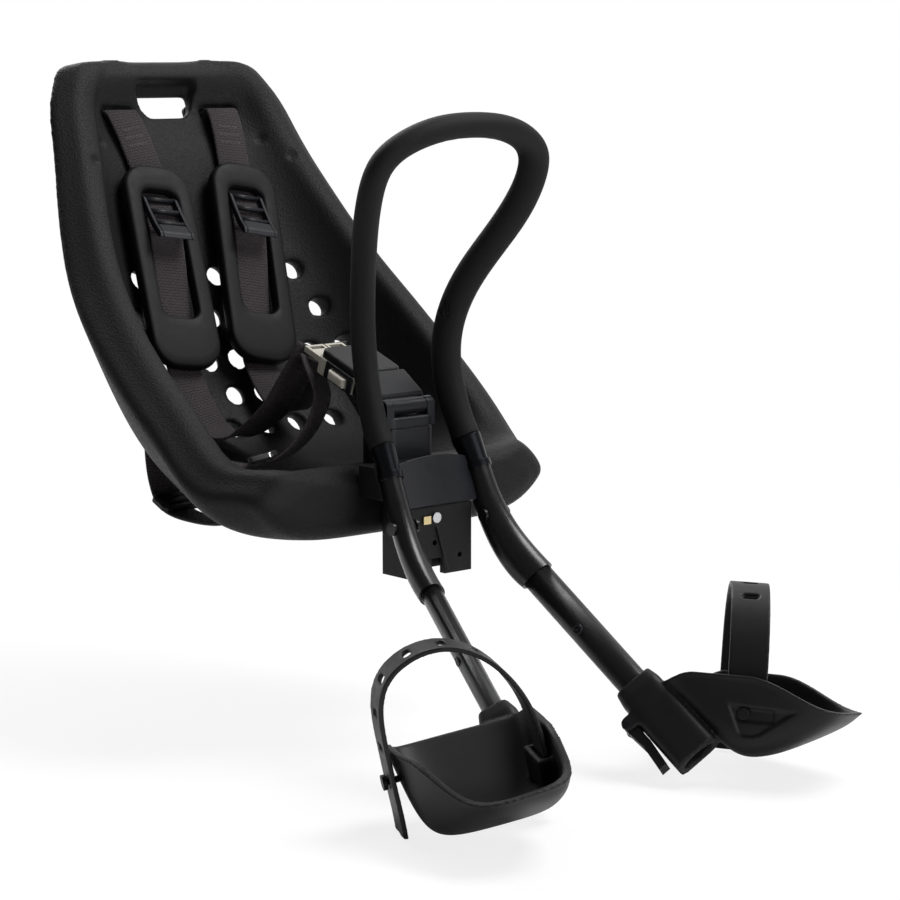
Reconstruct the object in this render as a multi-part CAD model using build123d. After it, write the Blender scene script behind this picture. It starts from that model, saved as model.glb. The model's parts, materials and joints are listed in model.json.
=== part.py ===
"""Front-mounted child bicycle seat: foam bucket, harness, handle frame and footrests.

Units are millimetres.  The origin is the centre of the mount socket's bottom
face, +Z is up, the child faces -Y and the child's left side is +X.
"""

import os
from math import cos, radians, sin, sqrt

from build123d import *

# Fits
CLEARANCE = 0.3
SLIDE_GAP = 0.35
PIN_GAP = 0.06
SKIN_GAP = 0.15

# Foam bucket: flat sections fan out from one line above the front lip
FAN_Y = 39.0
FAN_Z = 458.0
RECLINE = 26.0
BACK_FOOT_Y = 200.5
BACK_FOOT_Z = 96.6
PANEL_WALL = 11.0
RIM_WIDTH = 31.0
RIM_DROP = 22.0
RIM_INNER_DROP = 5.0
ROLL_OUTER = 0.22
ROLL_CROWN = 0.62
ROLL_DIP = 0.34
WALL_POWER = 4.2
CORNER_POWER = 5.0
LIP_POWER = 6.0
FLOOR_POWER = 6.0

# One row for each section: fan angle, half width, floor, rim crest, wall, wall power
LIP_STATIONS = [
    (0.2, 121.0, 389.0, 386.0, 45.0, LIP_POWER),
    (4.0, 135.0, 394.0, 386.0, 42.0, LIP_POWER),
    (9.0, 141.5, 407.0, 368.0, 24.0, LIP_POWER),
    (16.0, 142.5, 414.0, 346.0, 14.0, CORNER_POWER),
]
BACK_STATIONS = [
    (24.0, 139.5, 329.0),
    (33.0, 130.5, 315.0),
    (43.0, 116.5, 302.0),
    (52.0, 104.0, 295.0),
    (57.5, 96.5, 292.0),
]
TOP_STATIONS = [
    (60.8, 88.0, 295.0, 291.5, 21.0, WALL_POWER),
]
# Rounding of the lip and of the top edge: turn of the fan, inset, corner inset
LIP_ROUND_ANGLE = -1.9
LIP_ROUND_INSET = 13.0
LIP_CORNER_INSET = 26.0
TOP_ROUND_ANGLE = 2.7
TOP_ROUND_INSET = 9.5
TOP_CORNER_INSET = 38.0
ROUND_SHARES = (0.45, 0.8, 0.97)

# Openings in the bucket, measured along the back from its foot
HOLE_RADIUS = 6.8
HOLE_BACK_RADIUS = 11.0
HOLE_LAND = 3.5
HOLE_ROWS = {
    88.0: (0.0, 66.0),
    58.0: (12.0, 77.0),
    27.0: (0.0, 24.0, 63.0, 87.0),
    0.0: (12.0, 42.0),
    -26.0: (0.0, 27.0, 57.0),
}
GRAB_SLOT_RISE = 222.0
GRAB_SLOT_TOP = 54.0
GRAB_SLOT_BOTTOM = 37.0
GRAB_SLOT_HEIGHT = 24.0
GRAB_SLOT_ROUND = 9.0
GRAB_SLOT_TOP_ROUND = 3.0
BELT_SLOT_RISE = 213.0
BELT_SLOT_X = 43.0
BELT_SLOT_WIDTH = 29.0
BELT_SLOT_HEIGHT = 9.0
BELT_SLOT_ROUND = 3.0
SLOT_CUT = 60.0

# Harness webbing and shoulder pads; pad ends are across, up the back, out from it
WEB_WIDTH = 26.0
WEB_THICK = 2.0
HIP_WEB_WIDTH = 22.0
PAD_LENGTH = 152.0
PAD_WIDTH = 54.0
PAD_THICK = 8.0
PAD_ROUND = 16.0
PAD_WINDOW_WIDTH = 29.0
PAD_WINDOW_LENGTH = 96.0
PAD_WINDOW_SHIFT = 9.0
PAD_WINDOW_ROUND = 6.0
LEFT_PAD_TOP = (37.5, 163.0, 11.0)
LEFT_PAD_FOOT = (9.0, 19.0, 14.0)
RIGHT_PAD_TOP = (-37.0, 165.0, 11.0)
RIGHT_PAD_FOOT = (-58.0, 17.0, 18.0)
ADJUSTER_LENGTH = 27.0
ADJUSTER_THICK = 6.0
ADJUSTER_BAR = 4.0
ADJUSTER_INSET = 16.0
SLIDER_LENGTH = 17.0
SLIDER_WIDTH = 31.0
SLIDER_THICK = 3.0
SLIDER_BAR = 3.5
ANCHOR_WIDTH = 42.0
ANCHOR_HEIGHT = 18.0
ANCHOR_SLOT = 5.0
# Free runs of the webbing, from the pads and the bucket to the buckle
LEFT_STRAP_RUN = [(8.5, 168.0, 88.0), (10.0, 150.0, 103.0), (10.0, 133.0, 124.0)]
RIGHT_STRAP_RUN = [(-53.0, 172.0, 81.0), (-43.0, 156.0, 77.0), (-28.0, 139.0, 93.0), (-16.0, 129.0, 117.0)]
HIP_STRAP_RUN = [
    (92.0, 140.0, 68.0), (66.0, 118.0, 62.0), (48.0, 102.0, 69.0), (31.0, 96.0, 85.0), (18.0, 99.0, 106.0),
]
HIP_STRAP_ACROSS = (1.0, -0.5, 0.0)
REAR_STRAP_X = 101.0
REAR_STRAP_RUN = [
    (166.0, 96.0), (166.5, 72.0), (163.0, 53.0), (155.0, 39.0), (141.0, 33.0), (116.0, 31.5), (91.0, 33.0),
    (70.0, 38.0), (52.0, 47.0),
]
REAR_SLIDER_INDEX = 3
HIP_SLIDER_INDEX = 1

# Handle frame: one bent oval tube, listed from the left leg's end to the crown
LOOP_HALF_WIDTH = 64.5
FRAME_ROUTE = [
    (44.3, -43.0, -0.6),
    (40.8, -23.6, 14.8),
    (37.5, -5.5, 40.0),
    (36.7, 5.0, 64.0),
    (34.8, 15.5, 83.0),
    (34.0, 28.5, 110.0),
    (35.0, 34.0, 149.0),
    (42.0, 26.0, 180.5),
    (54.6, 8.5, 212.0),
    (63.9, -8.0, 241.0),
    (61.7, -18.8, 264.0),
    (44.0, -26.0, 277.8),
    (0.0, -29.5, 285.5),
]
RING_INDEX = 3
FOAM_INDEX = 4
TUBE_SHORT = 5.4
TUBE_LONG = 6.4
SLEEVE_SHORT = 8.4
SLEEVE_LONG = 11.8
NECK_SHORT = 7.0
NECK_LONG = 8.0
FOAM_SHORT = 8.0
FOAM_LONG = 10.0
RING_PROUD = 1.2
RING_HEIGHT = 4.0

# Lower legs
LEG_SHORT = 6.8
LEG_LONG = 10.1
LEG_WALL = 2.0
LEG_DIRECTION = Vector(0.1397, -0.7758, -0.6152).normalized()
LEG_INSERT = 26.0
FOOT_ENTRY = 99.6
LEG_PAST_ENTRY = 46.0
LEG_HOLE_RADIUS = 2.6
LEG_HOLE_PITCH = 25.0
LEG_HOLE_ABOVE = 22.0
LEG_HOLES = 3
RIVET_Z = 36.0
RIVET_RADIUS = 2.6
RIVET_REACH = 8.4
RIVET_HEAD_RADIUS = 4.2
RIVET_HEAD_THICK = 2.0

# Mount socket that hooks over the stem bracket
SOCKET_HALF_WIDTH = 27.0
SOCKET_DEPTH = 27.0
SOCKET_FRONT_HEIGHT = 44.0
SOCKET_NECK_SETBACK = 11.5
SOCKET_TOP = 72.0
SOCKET_WALL = 5.0
SOCKET_SIDE_WALL = 6.0
SOCKET_POCKET_HEIGHT = 32.0
SOCKET_ROUND = 2.0
ARM_REACH = 45.0
ARM_BOTTOM = 52.0
NOTCH_LEFT = 3.5
NOTCH_RIGHT = -8.0
NOTCH_HEIGHT = 11.0
FACE_HOLE_RADIUS = 1.8
FACE_HOLES = [(-5.0, 21.0), (16.0, 11.0)]
RIDGE_WIDTH = 1.6
RIDGE_TOP = (-4.0, 31.0)
RIDGE_FOOT = (4.6, 3.0)
LATCH_SCREW_X = -4.6
LATCH_SCREW_Z = 37.5
LATCH_SCREW_RADIUS = 2.0
LATCH_HEAD_RADIUS = 3.4
LATCH_HEAD_THICK = 2.0
LATCH_SCREW_DEPTH = 9.0
LATCH_BLOCK_X = -12.2
LATCH_BLOCK_Z = 36.5
LATCH_BLOCK_WIDTH = 6.0
LATCH_BLOCK_HEIGHT = 5.0
LATCH_BLOCK_DEPTH = 5.0
LATCH_BLOCK_PROUD = 1.4
PLATE_HALF_WIDTH = 30.0
PLATE_EDGE = 2.6
PLATE_BULGE = 3.6
PLATE_HEIGHT = 29.0
PLATE_BOW = 3.0
PLATE_ROUND = 4.0
BRACKET_HALF_WIDTH = 22.0
BRACKET_BACK = 118.0
BRACKET_TOP = 42.0
BRACKET_THICK = 4.0
FLANGE_THICK = 3.0
FLANGE_TOP = 57.0
FLANGE_BOTTOM = 30.0
BRACKET_ROUND = 8.0
BRACKET_SCREW_X = 12.0
BRACKET_SCREW_Y = (62.0, 92.0)
BRACKET_SCREW_RADIUS = 2.5
BRACKET_SCREW_LENGTH = 14.0
BRACKET_HEAD_RADIUS = 5.0
BRACKET_HEAD_THICK = 2.6

# Crotch post, hinged arm and buckle
POST_HALF_WIDTH = 20.0
POST_FRONT = 28.0
POST_BACK = 58.0
POST_BOTTOM = 60.0
POST_SPLIT = 92.0
POST_ROUND = 7.0
LID_TOP = 99.0
LID_ROUND = 2.5
LID_GROOVE = 1.0
HINGE_Y = 34.5
HINGE_Z = 104.8
HINGE_EAR_RADIUS = 5.5
HINGE_EAR_WIDTH = 6.0
HINGE_PIN_RADIUS = 2.5
HINGE_PIN_PROUD = 0.8
ARM_TILT = 20.0
ARM_THICK = 6.0
ARM_LENGTH = 34.0
ARM_END_HALF_WIDTH = 17.0
BUCKLE_START = 30.0
BUCKLE_LENGTH = 42.0
BUCKLE_HALF_WIDTH = 21.0
BUCKLE_ROUND = 7.0
BUCKLE_BASE_THICK = 11.0
BUCKLE_COVER_THICK = 5.5
BUCKLE_COVER_INSET = 1.5
BUCKLE_COVER_ROUND = 2.4
TONGUE_PROUD = 19.0
TONGUE_INSERT = 14.0
TONGUE_THICK = 4.0
TONGUE_WIDTH = 15.0
TONGUE_SPLIT = 0.6
TONGUE_EYE_LENGTH = 4.0
TONGUE_EYE_INSET = 4.0
BUTTON_START = 37.0
BUTTON_LENGTH = 16.0
BUTTON_THICK = 6.4
BUTTON_TRAVEL = 3.0
BUTTON_DEPTH = 5.0
BUTTON_PROUD = 4.0
BUTTON_ROUND = 2.0

# Footrests: a cup in its own frame of toe-ward, outward and upward lengths
TOE_OUT = 28.0
FOOT_ROLL = 12.0
CUP_WALL = 3.5
# Plan of the cup: towards the toe, outwards, corner radius
CUP_OUTLINE = [
    (10.0, -12.5, 5.0),
    (126.0, -12.5, 16.0),
    (137.0, 44.0, 12.0),
    (62.0, 76.0, 40.0),
    (16.0, 74.0, 16.0),
]
CUP_TOP = 30.0
HEEL_OFFSET = 13.0
VEE_DEPTH = 43.0
VEE_ROUND = 12.0
TOE_REACH = 140.0
TOE_DROP = 9.0
RIM_HEEL = 4.0
RIM_HEIGHT = 14.0
RIM_RISE_AT = 34.0
RIM_SHOULDER = 78.0
RIM_TOE_REACH = 124.0
RIM_TOE_DROP = 5.0
RIM_SWEEP = 24.0
RIM_DIP_ROUND = 8.0
SOLE_INNER_RISE = 10.0
SOLE_INNER_RUN = 24.0
SOLE_INNER_ROUND = 8.0
SOLE_OUTER_ROUND = 20.0
BOOT_WALL = 4.4
BOOT_ABOVE = -8.0
BOOT_BELOW = 60.0
BUMP_RADIUS = 4.0
BUMP_DEPTH = 2.0
BUMP_PLACES = (20.0, 46.0)
RECESS_CORNERS = [(60.0, -3.0), (106.0, -5.0), (71.0, -30.0)]
RECESS_ROUND = 4.0
RECESS_DEPTH = 1.6
STRAP_INNER_AT = 71.0
STRAP_OUTER_AT = 44.0
STRAP_WIDTH = 25.0
STRAP_THICK = 3.0
# Arch of the strap over the shoe: outwards and up
STRAP_ARCH = [(-3.0, 29.0), (6.0, 49.0), (19.0, 63.0), (35.0, 69.5), (54.0, 67.0), (70.0, 55.0)]
STRAP_FOOT = -14.0
STRAP_TAIL = -37.0
STRAP_SLOT_LENGTH = 11.5
STRAP_SLOT_HEIGHT = 4.8
STRAP_SLOT_PITCH = 20.5
STRAP_SLOTS = 7
BOSS_WALL = 4.0
BOSS_TOP = -2.0
PEG_RADIUS = 2.0
PEG_HEAD_RADIUS = 4.6
PEG_HEAD_THICK = 2.6
PEG_LEVEL = -4.5
RIVET_LEVEL = -9.0
RIVET_CAP_RADIUS = 3.6
RIVET_CAP_THICK = 1.2
LEVER_PIVOT = 16.0
LEVER_HEIGHT = 19.6
LEVER_EYE_RADIUS = 3.8
LEVER_LENGTH = 34.0
LEVER_HALF_WIDTH = 8.0
LEVER_THICK = 6.0
LEVER_KICK = 2.0
LEVER_EAR_THICK = 3.4
LEVER_EAR_RADIUS = 4.6
LEVER_PIN_RADIUS = 2.0

PARTS = {}
SIDES = {"left": 1, "right": -1}
TONGUE_X = TONGUE_WIDTH / 2 + TONGUE_SPLIT
TONGUE_END = BUCKLE_START + BUCKLE_LENGTH + TONGUE_PROUD
BUCKLE_FRAME = Plane(
    origin=(0, HINGE_Y, HINGE_Z),
    x_dir=(1, 0, 0),
    z_dir=(0, -sin(radians(ARM_TILT)), cos(radians(ARM_TILT))),
)
FOOT_FRAME = Plane(
    origin=Vector(*FRAME_ROUTE[0]) + LEG_DIRECTION * FOOT_ENTRY,
    x_dir=(sin(radians(TOE_OUT)), -cos(radians(TOE_OUT)), 0),
    z_dir=(
        sin(radians(FOOT_ROLL)) * cos(radians(TOE_OUT)),
        sin(radians(FOOT_ROLL)) * sin(radians(TOE_OUT)),
        cos(radians(FOOT_ROLL)),
    ),
)


def at_back(x, rise, proud=0.0):
    """Point on the flat back: across, up from its foot, out towards the child."""
    lean = radians(RECLINE)
    return Vector(
        x,
        BACK_FOOT_Y + rise * sin(lean) - proud * cos(lean),
        BACK_FOOT_Z + rise * cos(lean) + proud * sin(lean),
    )


def back_plane(x, rise, proud=0.0):
    """Plane on the flat back, X across and Y up the back, facing the child."""
    lean = radians(RECLINE)
    return Plane(origin=at_back(x, rise, proud), x_dir=(1, 0, 0), z_dir=(0, -cos(lean), sin(lean)))


def back_floor(angle):
    """Distance from the fan line to the flat back along the ray at an angle."""
    lean = radians(RECLINE)
    ray = radians(angle)
    reach = cos(lean) * (BACK_FOOT_Y - FAN_Y) + sin(lean) * (FAN_Z - BACK_FOOT_Z)
    return reach / (cos(lean) * sin(ray) + sin(lean) * cos(ray))


def fan_plane(angle):
    """Section plane through the fan line, with local Y pointing away from it."""
    ray = radians(angle)
    return Plane(origin=(0, FAN_Y, FAN_Z), x_dir=(1, 0, 0), z_dir=(0, cos(ray), sin(ray)))


def wall_points(half, low, high, power):
    """Points of a cupped wall, from rim to rim across the floor."""
    shares = (-1.0, -0.94, -0.84, -0.68, -0.4, 0.0, 0.4, 0.68, 0.84, 0.94, 1.0)
    return [(share * half, low - (low - high) * abs(share) ** power) for share in shares]


def shell_section(angle, half, floor, crest, wall, power):
    """Closed U-shaped band with a rolled rim on both sides."""
    inner_half = half - RIM_WIDTH
    low = floor + wall
    outer_edge = crest + min(RIM_DROP, (low - crest) / 2)
    inner_edge = crest + min(RIM_INNER_DROP, (floor - crest) / 2)
    outer_slope = power * (low - outer_edge) / half
    inner_slope = FLOOR_POWER * (floor - inner_edge) / inner_half
    outer = Spline(*wall_points(half, low, outer_edge, power))
    inner = Spline(*wall_points(inner_half, floor, inner_edge, FLOOR_POWER)[::-1])
    caps = []
    for side in (1, -1):
        roll = [
            (side * half, outer_edge),
            (side * (half - ROLL_OUTER * RIM_WIDTH), crest + ROLL_DIP * (outer_edge - crest)),
            (side * (half - ROLL_CROWN * RIM_WIDTH), crest),
            (side * inner_half, inner_edge),
        ]
        tangents = [(side, -outer_slope), (-side, inner_slope)]
        if side < 0:
            roll = roll[::-1]
            tangents = [(1, -inner_slope), (1, outer_slope)]
        caps.append(Spline(*roll, tangents=tangents))
    return fan_plane(angle) * make_face([outer, caps[0], inner, caps[1]])


def end_round(row, turn, inset, corner):
    """Sections beyond an end row that shrink along a quarter ellipse."""
    angle, half, floor, crest, wall, power = row
    rows = []
    for share in ROUND_SHARES:
        fall = 1 - sqrt(1 - share**2)
        pull = inset * fall
        place = (angle + turn * share, half - corner * fall)
        rows.append((*place, floor + pull, crest + pull, wall - 2 * pull, power))
    return rows


def shell_body():
    """Foam bucket as one loft, before its openings."""
    rows = list(LIP_STATIONS)
    rows += [(a, half, back_floor(a), crest, PANEL_WALL, WALL_POWER) for a, half, crest in BACK_STATIONS]
    rows += TOP_STATIONS
    rows = end_round(rows[0], LIP_ROUND_ANGLE, LIP_ROUND_INSET, LIP_CORNER_INSET)[::-1] + rows
    rows += end_round(rows[-1], TOP_ROUND_ANGLE, TOP_ROUND_INSET, TOP_CORNER_INSET)
    return loft([shell_section(*row) for row in rows])


def vent_hole(x, rise):
    """Vent with a straight land at the front, flaring towards the back."""
    flare = (HOLE_BACK_RADIUS - HOLE_RADIUS) / (PANEL_WALL - HOLE_LAND)
    profile = Polyline(
        (0, SLOT_CUT),
        (HOLE_RADIUS, SLOT_CUT),
        (HOLE_RADIUS, -HOLE_LAND),
        (HOLE_RADIUS + flare * SLOT_CUT, -HOLE_LAND - SLOT_CUT),
        (0, -HOLE_LAND - SLOT_CUT),
        close=True,
    )
    cutter = revolve(make_face(Plane.XZ * profile), Axis.Z)
    return back_plane(x, rise) * cutter


def seat_shell(cutters):
    """Foam bucket with its vents, grab slot, belt slots and fixing pockets."""
    body = shell_body()
    for rise, columns in HOLE_ROWS.items():
        for x in columns:
            for side in ((1,) if x == 0 else (1, -1)):
                body -= vent_hole(side * x, rise)
    half_top = GRAB_SLOT_TOP / 2
    half_bottom = GRAB_SLOT_BOTTOM / 2
    half_height = GRAB_SLOT_HEIGHT / 2
    corners = [
        (-half_top, half_height),
        (half_top, half_height),
        (half_bottom, -half_height),
        (-half_bottom, -half_height),
    ]
    rounds = [GRAB_SLOT_TOP_ROUND, GRAB_SLOT_TOP_ROUND, GRAB_SLOT_ROUND, GRAB_SLOT_ROUND]
    grab = make_face(FilletPolyline(*corners, radius=rounds, close=True))
    body -= back_plane(0, GRAB_SLOT_RISE) * extrude(grab, SLOT_CUT, both=True)
    for side in (1, -1):
        slot = RectangleRounded(BELT_SLOT_WIDTH, BELT_SLOT_HEIGHT, BELT_SLOT_ROUND)
        body -= back_plane(side * BELT_SLOT_X, BELT_SLOT_RISE) * extrude(slot, SLOT_CUT, both=True)
    for cutter in cutters:
        body -= cutter
    return body


def ribbon(points, width, thick, across=(1, 0, 0)):
    """Flat webbing along a route, with its width kept close to one direction."""
    faces = []
    for index, here in enumerate(points):
        before = points[max(index - 1, 0)]
        after = points[min(index + 1, len(points) - 1)]
        plane = Plane(origin=here, x_dir=across, z_dir=after - before)
        faces.append(plane * Rectangle(width, thick))
    return loft(faces, ruled=True)


def clipped(strap, shell):
    """Free part of a strap that starts inside the bucket's foam."""
    return (strap - shell).solids().sort_by(SortBy.VOLUME)[-1]


def route_plane(points, index, across=(1, 0, 0)):
    """Plane lying on a ribbon halfway along one of its runs."""
    middle = (points[index] + points[index + 1]) / 2
    flat = Plane(origin=middle, x_dir=across, z_dir=points[index + 1] - points[index])
    return Plane(origin=middle, x_dir=flat.x_dir, z_dir=flat.y_dir)


def web_slider(plane, web_width, lift):
    """Three-bar slider lying on webbing."""
    body = RectangleRounded(SLIDER_WIDTH, SLIDER_LENGTH, SLIDER_BAR)
    gap = (SLIDER_LENGTH - 3 * SLIDER_BAR) / 2
    for way in (1, -1):
        body -= Pos(0, way * (gap + SLIDER_BAR) / 2) * Rectangle(web_width, gap)
    return plane * Pos(0, 0, lift) * extrude(body, SLIDER_THICK)


def pad_plane(top, foot):
    """Plane through a shoulder pad's middle, local Y up the pad, facing the child."""
    high = at_back(*top)
    low = at_back(*foot)
    up = (high - low).normalized()
    across = up.cross(back_plane(0, 0).z_dir)
    middle = (high + low) / 2
    return Plane(origin=middle, x_dir=across, z_dir=across.cross(up))


def shoulder_pad(plane):
    """Flat pad with a long window over the webbing."""
    body = RectangleRounded(PAD_WIDTH, PAD_LENGTH, PAD_ROUND)
    body -= Pos(0, PAD_WINDOW_SHIFT) * RectangleRounded(PAD_WINDOW_WIDTH, PAD_WINDOW_LENGTH, PAD_WINDOW_ROUND)
    return plane * extrude(body, PAD_THICK / 2, both=True)


def strap_adjuster(plane):
    """Ladder-lock adjuster in the top of a pad's window."""
    body = RectangleRounded(ADJUSTER_LENGTH, ADJUSTER_LENGTH, ADJUSTER_BAR / 2)
    gap = (ADJUSTER_LENGTH - 3 * ADJUSTER_BAR) / 2
    for way in (1, -1):
        middle = way * (gap + ADJUSTER_BAR) / 2
        body -= Pos(0, middle) * Rectangle(ADJUSTER_LENGTH - 2 * ADJUSTER_BAR, gap)
    rise = PAD_WINDOW_SHIFT + PAD_WINDOW_LENGTH / 2 - ADJUSTER_INSET
    return plane * Pos(0, rise, -PAD_THICK / 2) * extrude(body, ADJUSTER_THICK)


def strap_route(plane, side, run):
    """Shoulder strap from its anchor through the slot and under the pad to the buckle."""
    slot_x = side * BELT_SLOT_X
    behind = -PANEL_WALL - CLEARANCE - SLIDER_THICK - WEB_THICK
    depth = -PAD_THICK / 2 - 2 * CLEARANCE - WEB_THICK / 2
    start = [
        at_back(slot_x, BELT_SLOT_RISE - ANCHOR_HEIGHT, behind),
        at_back(slot_x, BELT_SLOT_RISE - WEB_THICK, behind),
        at_back(slot_x, BELT_SLOT_RISE, behind / 2),
        at_back(slot_x, BELT_SLOT_RISE - WEB_THICK, 2 * WEB_THICK),
    ]
    under = [plane.from_local_coords(Vector(0, way * PAD_LENGTH / 2, depth)) for way in (1, 0, -1)]
    finish = BUCKLE_FRAME.from_local_coords(Vector(side * TONGUE_X, TONGUE_END + WEB_THICK, 0))
    return start + under + [Vector(*point) for point in run] + [finish]


def strap_anchor(side):
    """Slotted plate behind the back that holds a shoulder strap's end."""
    body = RectangleRounded(ANCHOR_WIDTH, ANCHOR_HEIGHT, ADJUSTER_BAR)
    body -= Rectangle(WEB_WIDTH + 2 * WEB_THICK, ANCHOR_SLOT)
    plane = back_plane(side * BELT_SLOT_X, BELT_SLOT_RISE, -PANEL_WALL - CLEARANCE - SLIDER_THICK)
    return plane * extrude(body, SLIDER_THICK)


def frame_path():
    """Route of the frame tube from the left leg over the crown to the right leg."""
    left = [Vector(*point) for point in FRAME_ROUTE]
    right = [Vector(-point.X, point.Y, point.Z) for point in left[-2::-1]]
    finish = Vector(-LEG_DIRECTION.X, LEG_DIRECTION.Y, LEG_DIRECTION.Z)
    return Spline(*left, *right, tangents=[LEG_DIRECTION * -1, finish])


FRAME_PATH = frame_path()


def oval_plane(origin, direction):
    """Section plane whose local X is the oval's long axis, outwards and forwards."""
    outward = Vector(origin.X / LOOP_HALF_WIDTH, -1, 0)
    return Plane(origin=origin, x_dir=outward, z_dir=direction)


def frame_plane(place):
    """Section plane on the frame's route at a place counted in its points."""
    last = 2 * len(FRAME_ROUTE) - 2
    low = min(int(place), last - 1)
    spots = []
    for index in (low, low + 1):
        x, y, z = FRAME_ROUTE[min(index, last - index)]
        side = 1 if index <= last / 2 else -1
        spots.append(FRAME_PATH.param_at_point((side * x, y, z)))
    spot = spots[0] + (place - low) * (spots[1] - spots[0])
    return oval_plane(FRAME_PATH @ spot, FRAME_PATH % spot)


def oval_loft(rows):
    """Loft ovals along the frame's route; a row is a place and two half axes."""
    return loft([frame_plane(place) * Ellipse(long, short) for place, long, short in rows])


def even_oval(places, long, short):
    """Loft of one oval section along the frame's route."""
    return oval_loft([(place, long, short) for place in places])


def tube_bar(extra=0.0):
    """Slim oval tube along the whole route, as a solid bar."""
    return even_oval(range(1, 2 * len(FRAME_ROUTE) - 2), TUBE_LONG + extra, TUBE_SHORT + extra)


def sleeve(extra=0.0):
    """Lower left end of the frame tube, tapering to the collar's ring."""
    rows = []
    for index in range(RING_INDEX + 1):
        share = max(0, index - 1) / (RING_INDEX - 1)
        long = SLEEVE_LONG + share * (NECK_LONG - SLEEVE_LONG)
        short = SLEEVE_SHORT + share * (NECK_SHORT - SLEEVE_SHORT)
        rows.append((index, long + extra, short + extra))
    return oval_loft(rows)


def collar_blank(extra=0.0):
    """Tapered ferrule above the ring, before its bore."""
    length = (frame_plane(FOAM_INDEX).origin - frame_plane(RING_INDEX).origin).length
    step = RING_HEIGHT / length
    ring_long = NECK_LONG + RING_PROUD + extra
    ring_short = NECK_SHORT + RING_PROUD + extra
    ring = even_oval((RING_INDEX, RING_INDEX + step), ring_long, ring_short)
    cone = oval_loft([
        (RING_INDEX + step, NECK_LONG + extra, NECK_SHORT + extra),
        (FOAM_INDEX - SKIN_GAP / length, FOAM_LONG + extra, FOAM_SHORT + extra),
    ])
    return ring + cone


def leg_plane(along):
    """Plane across the left leg at a distance from the sleeve's end, facing down it."""
    end = Vector(*FRAME_ROUTE[0])
    level = oval_plane(end, LEG_DIRECTION)
    return Plane(origin=end + LEG_DIRECTION * along, x_dir=level.x_dir, z_dir=LEG_DIRECTION)


def leg_bar(start, stop, extra=0.0):
    """Straight oval bar along the left leg between two distances."""
    return extrude(leg_plane(start) * Ellipse(LEG_LONG + extra, LEG_SHORT + extra), stop - start)


def lower_leg():
    """Straight oval tube that carries a footrest, with its row of stop holes."""
    stop = FOOT_ENTRY + LEG_PAST_ENTRY
    tube = leg_bar(CLEARANCE - LEG_INSERT, stop) - leg_bar(-LEG_INSERT, stop, -LEG_WALL)
    for count in range(LEG_HOLES):
        place = leg_plane(FOOT_ENTRY - LEG_HOLE_ABOVE + count * LEG_HOLE_PITCH)
        drill = Plane(origin=place.origin, z_dir=place.x_dir)
        tube -= drill * extrude(Circle(LEG_HOLE_RADIUS), LEG_LONG * 2)
    return tube


def rivet_place():
    """Point on the frame's route at the rivets' height."""
    low = Vector(*FRAME_ROUTE[RING_INDEX - 2])
    high = Vector(*FRAME_ROUTE[RING_INDEX - 1])
    return low + (high - low) * ((RIVET_Z - low.Z) / (high.Z - low.Z))


def cross_rivet(gap=0.0, head_thick=RIVET_HEAD_THICK):
    """Rivet across the left sleeve with a round head at each side."""
    shank = extrude(Circle(RIVET_RADIUS + gap), RIVET_REACH, both=True)
    rivet = Plane(origin=rivet_place(), z_dir=(1, 0, 0)) * shank
    for way in (1, -1):
        seat = Plane(origin=rivet_place() + Vector(way * RIVET_REACH, 0, 0), z_dir=(way, 0, 0))
        rivet += seat * extrude(Circle(RIVET_HEAD_RADIUS + gap), head_thick)
    return rivet


def frame_tube():
    """Bent oval tube with a wider sleeve at each lower end, bored for the legs."""
    end = sleeve() - leg_bar(-LEG_INSERT, LEG_INSERT, PIN_GAP) - cross_rivet(PIN_GAP, SLEEVE_LONG)
    inner = leg_bar(-LEG_INSERT, LEG_INSERT, PIN_GAP) + cross_rivet(PIN_GAP, SLEEVE_LONG)
    return tube_bar() - inner - mirrored(inner) + end + mirrored(end)


def grip_foam():
    """Foam grip round the loop, from collar to collar."""
    places = range(FOAM_INDEX, 2 * len(FRAME_ROUTE) - 1 - FOAM_INDEX)
    return even_oval(places, FOAM_LONG, FOAM_SHORT) - tube_bar(SKIN_GAP)


def frame_clearance():
    """Room that pieces beside the frame leave for its sleeves and collars."""
    left = sleeve(CLEARANCE) + collar_blank(CLEARANCE)
    return left + mirrored(left)


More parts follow.
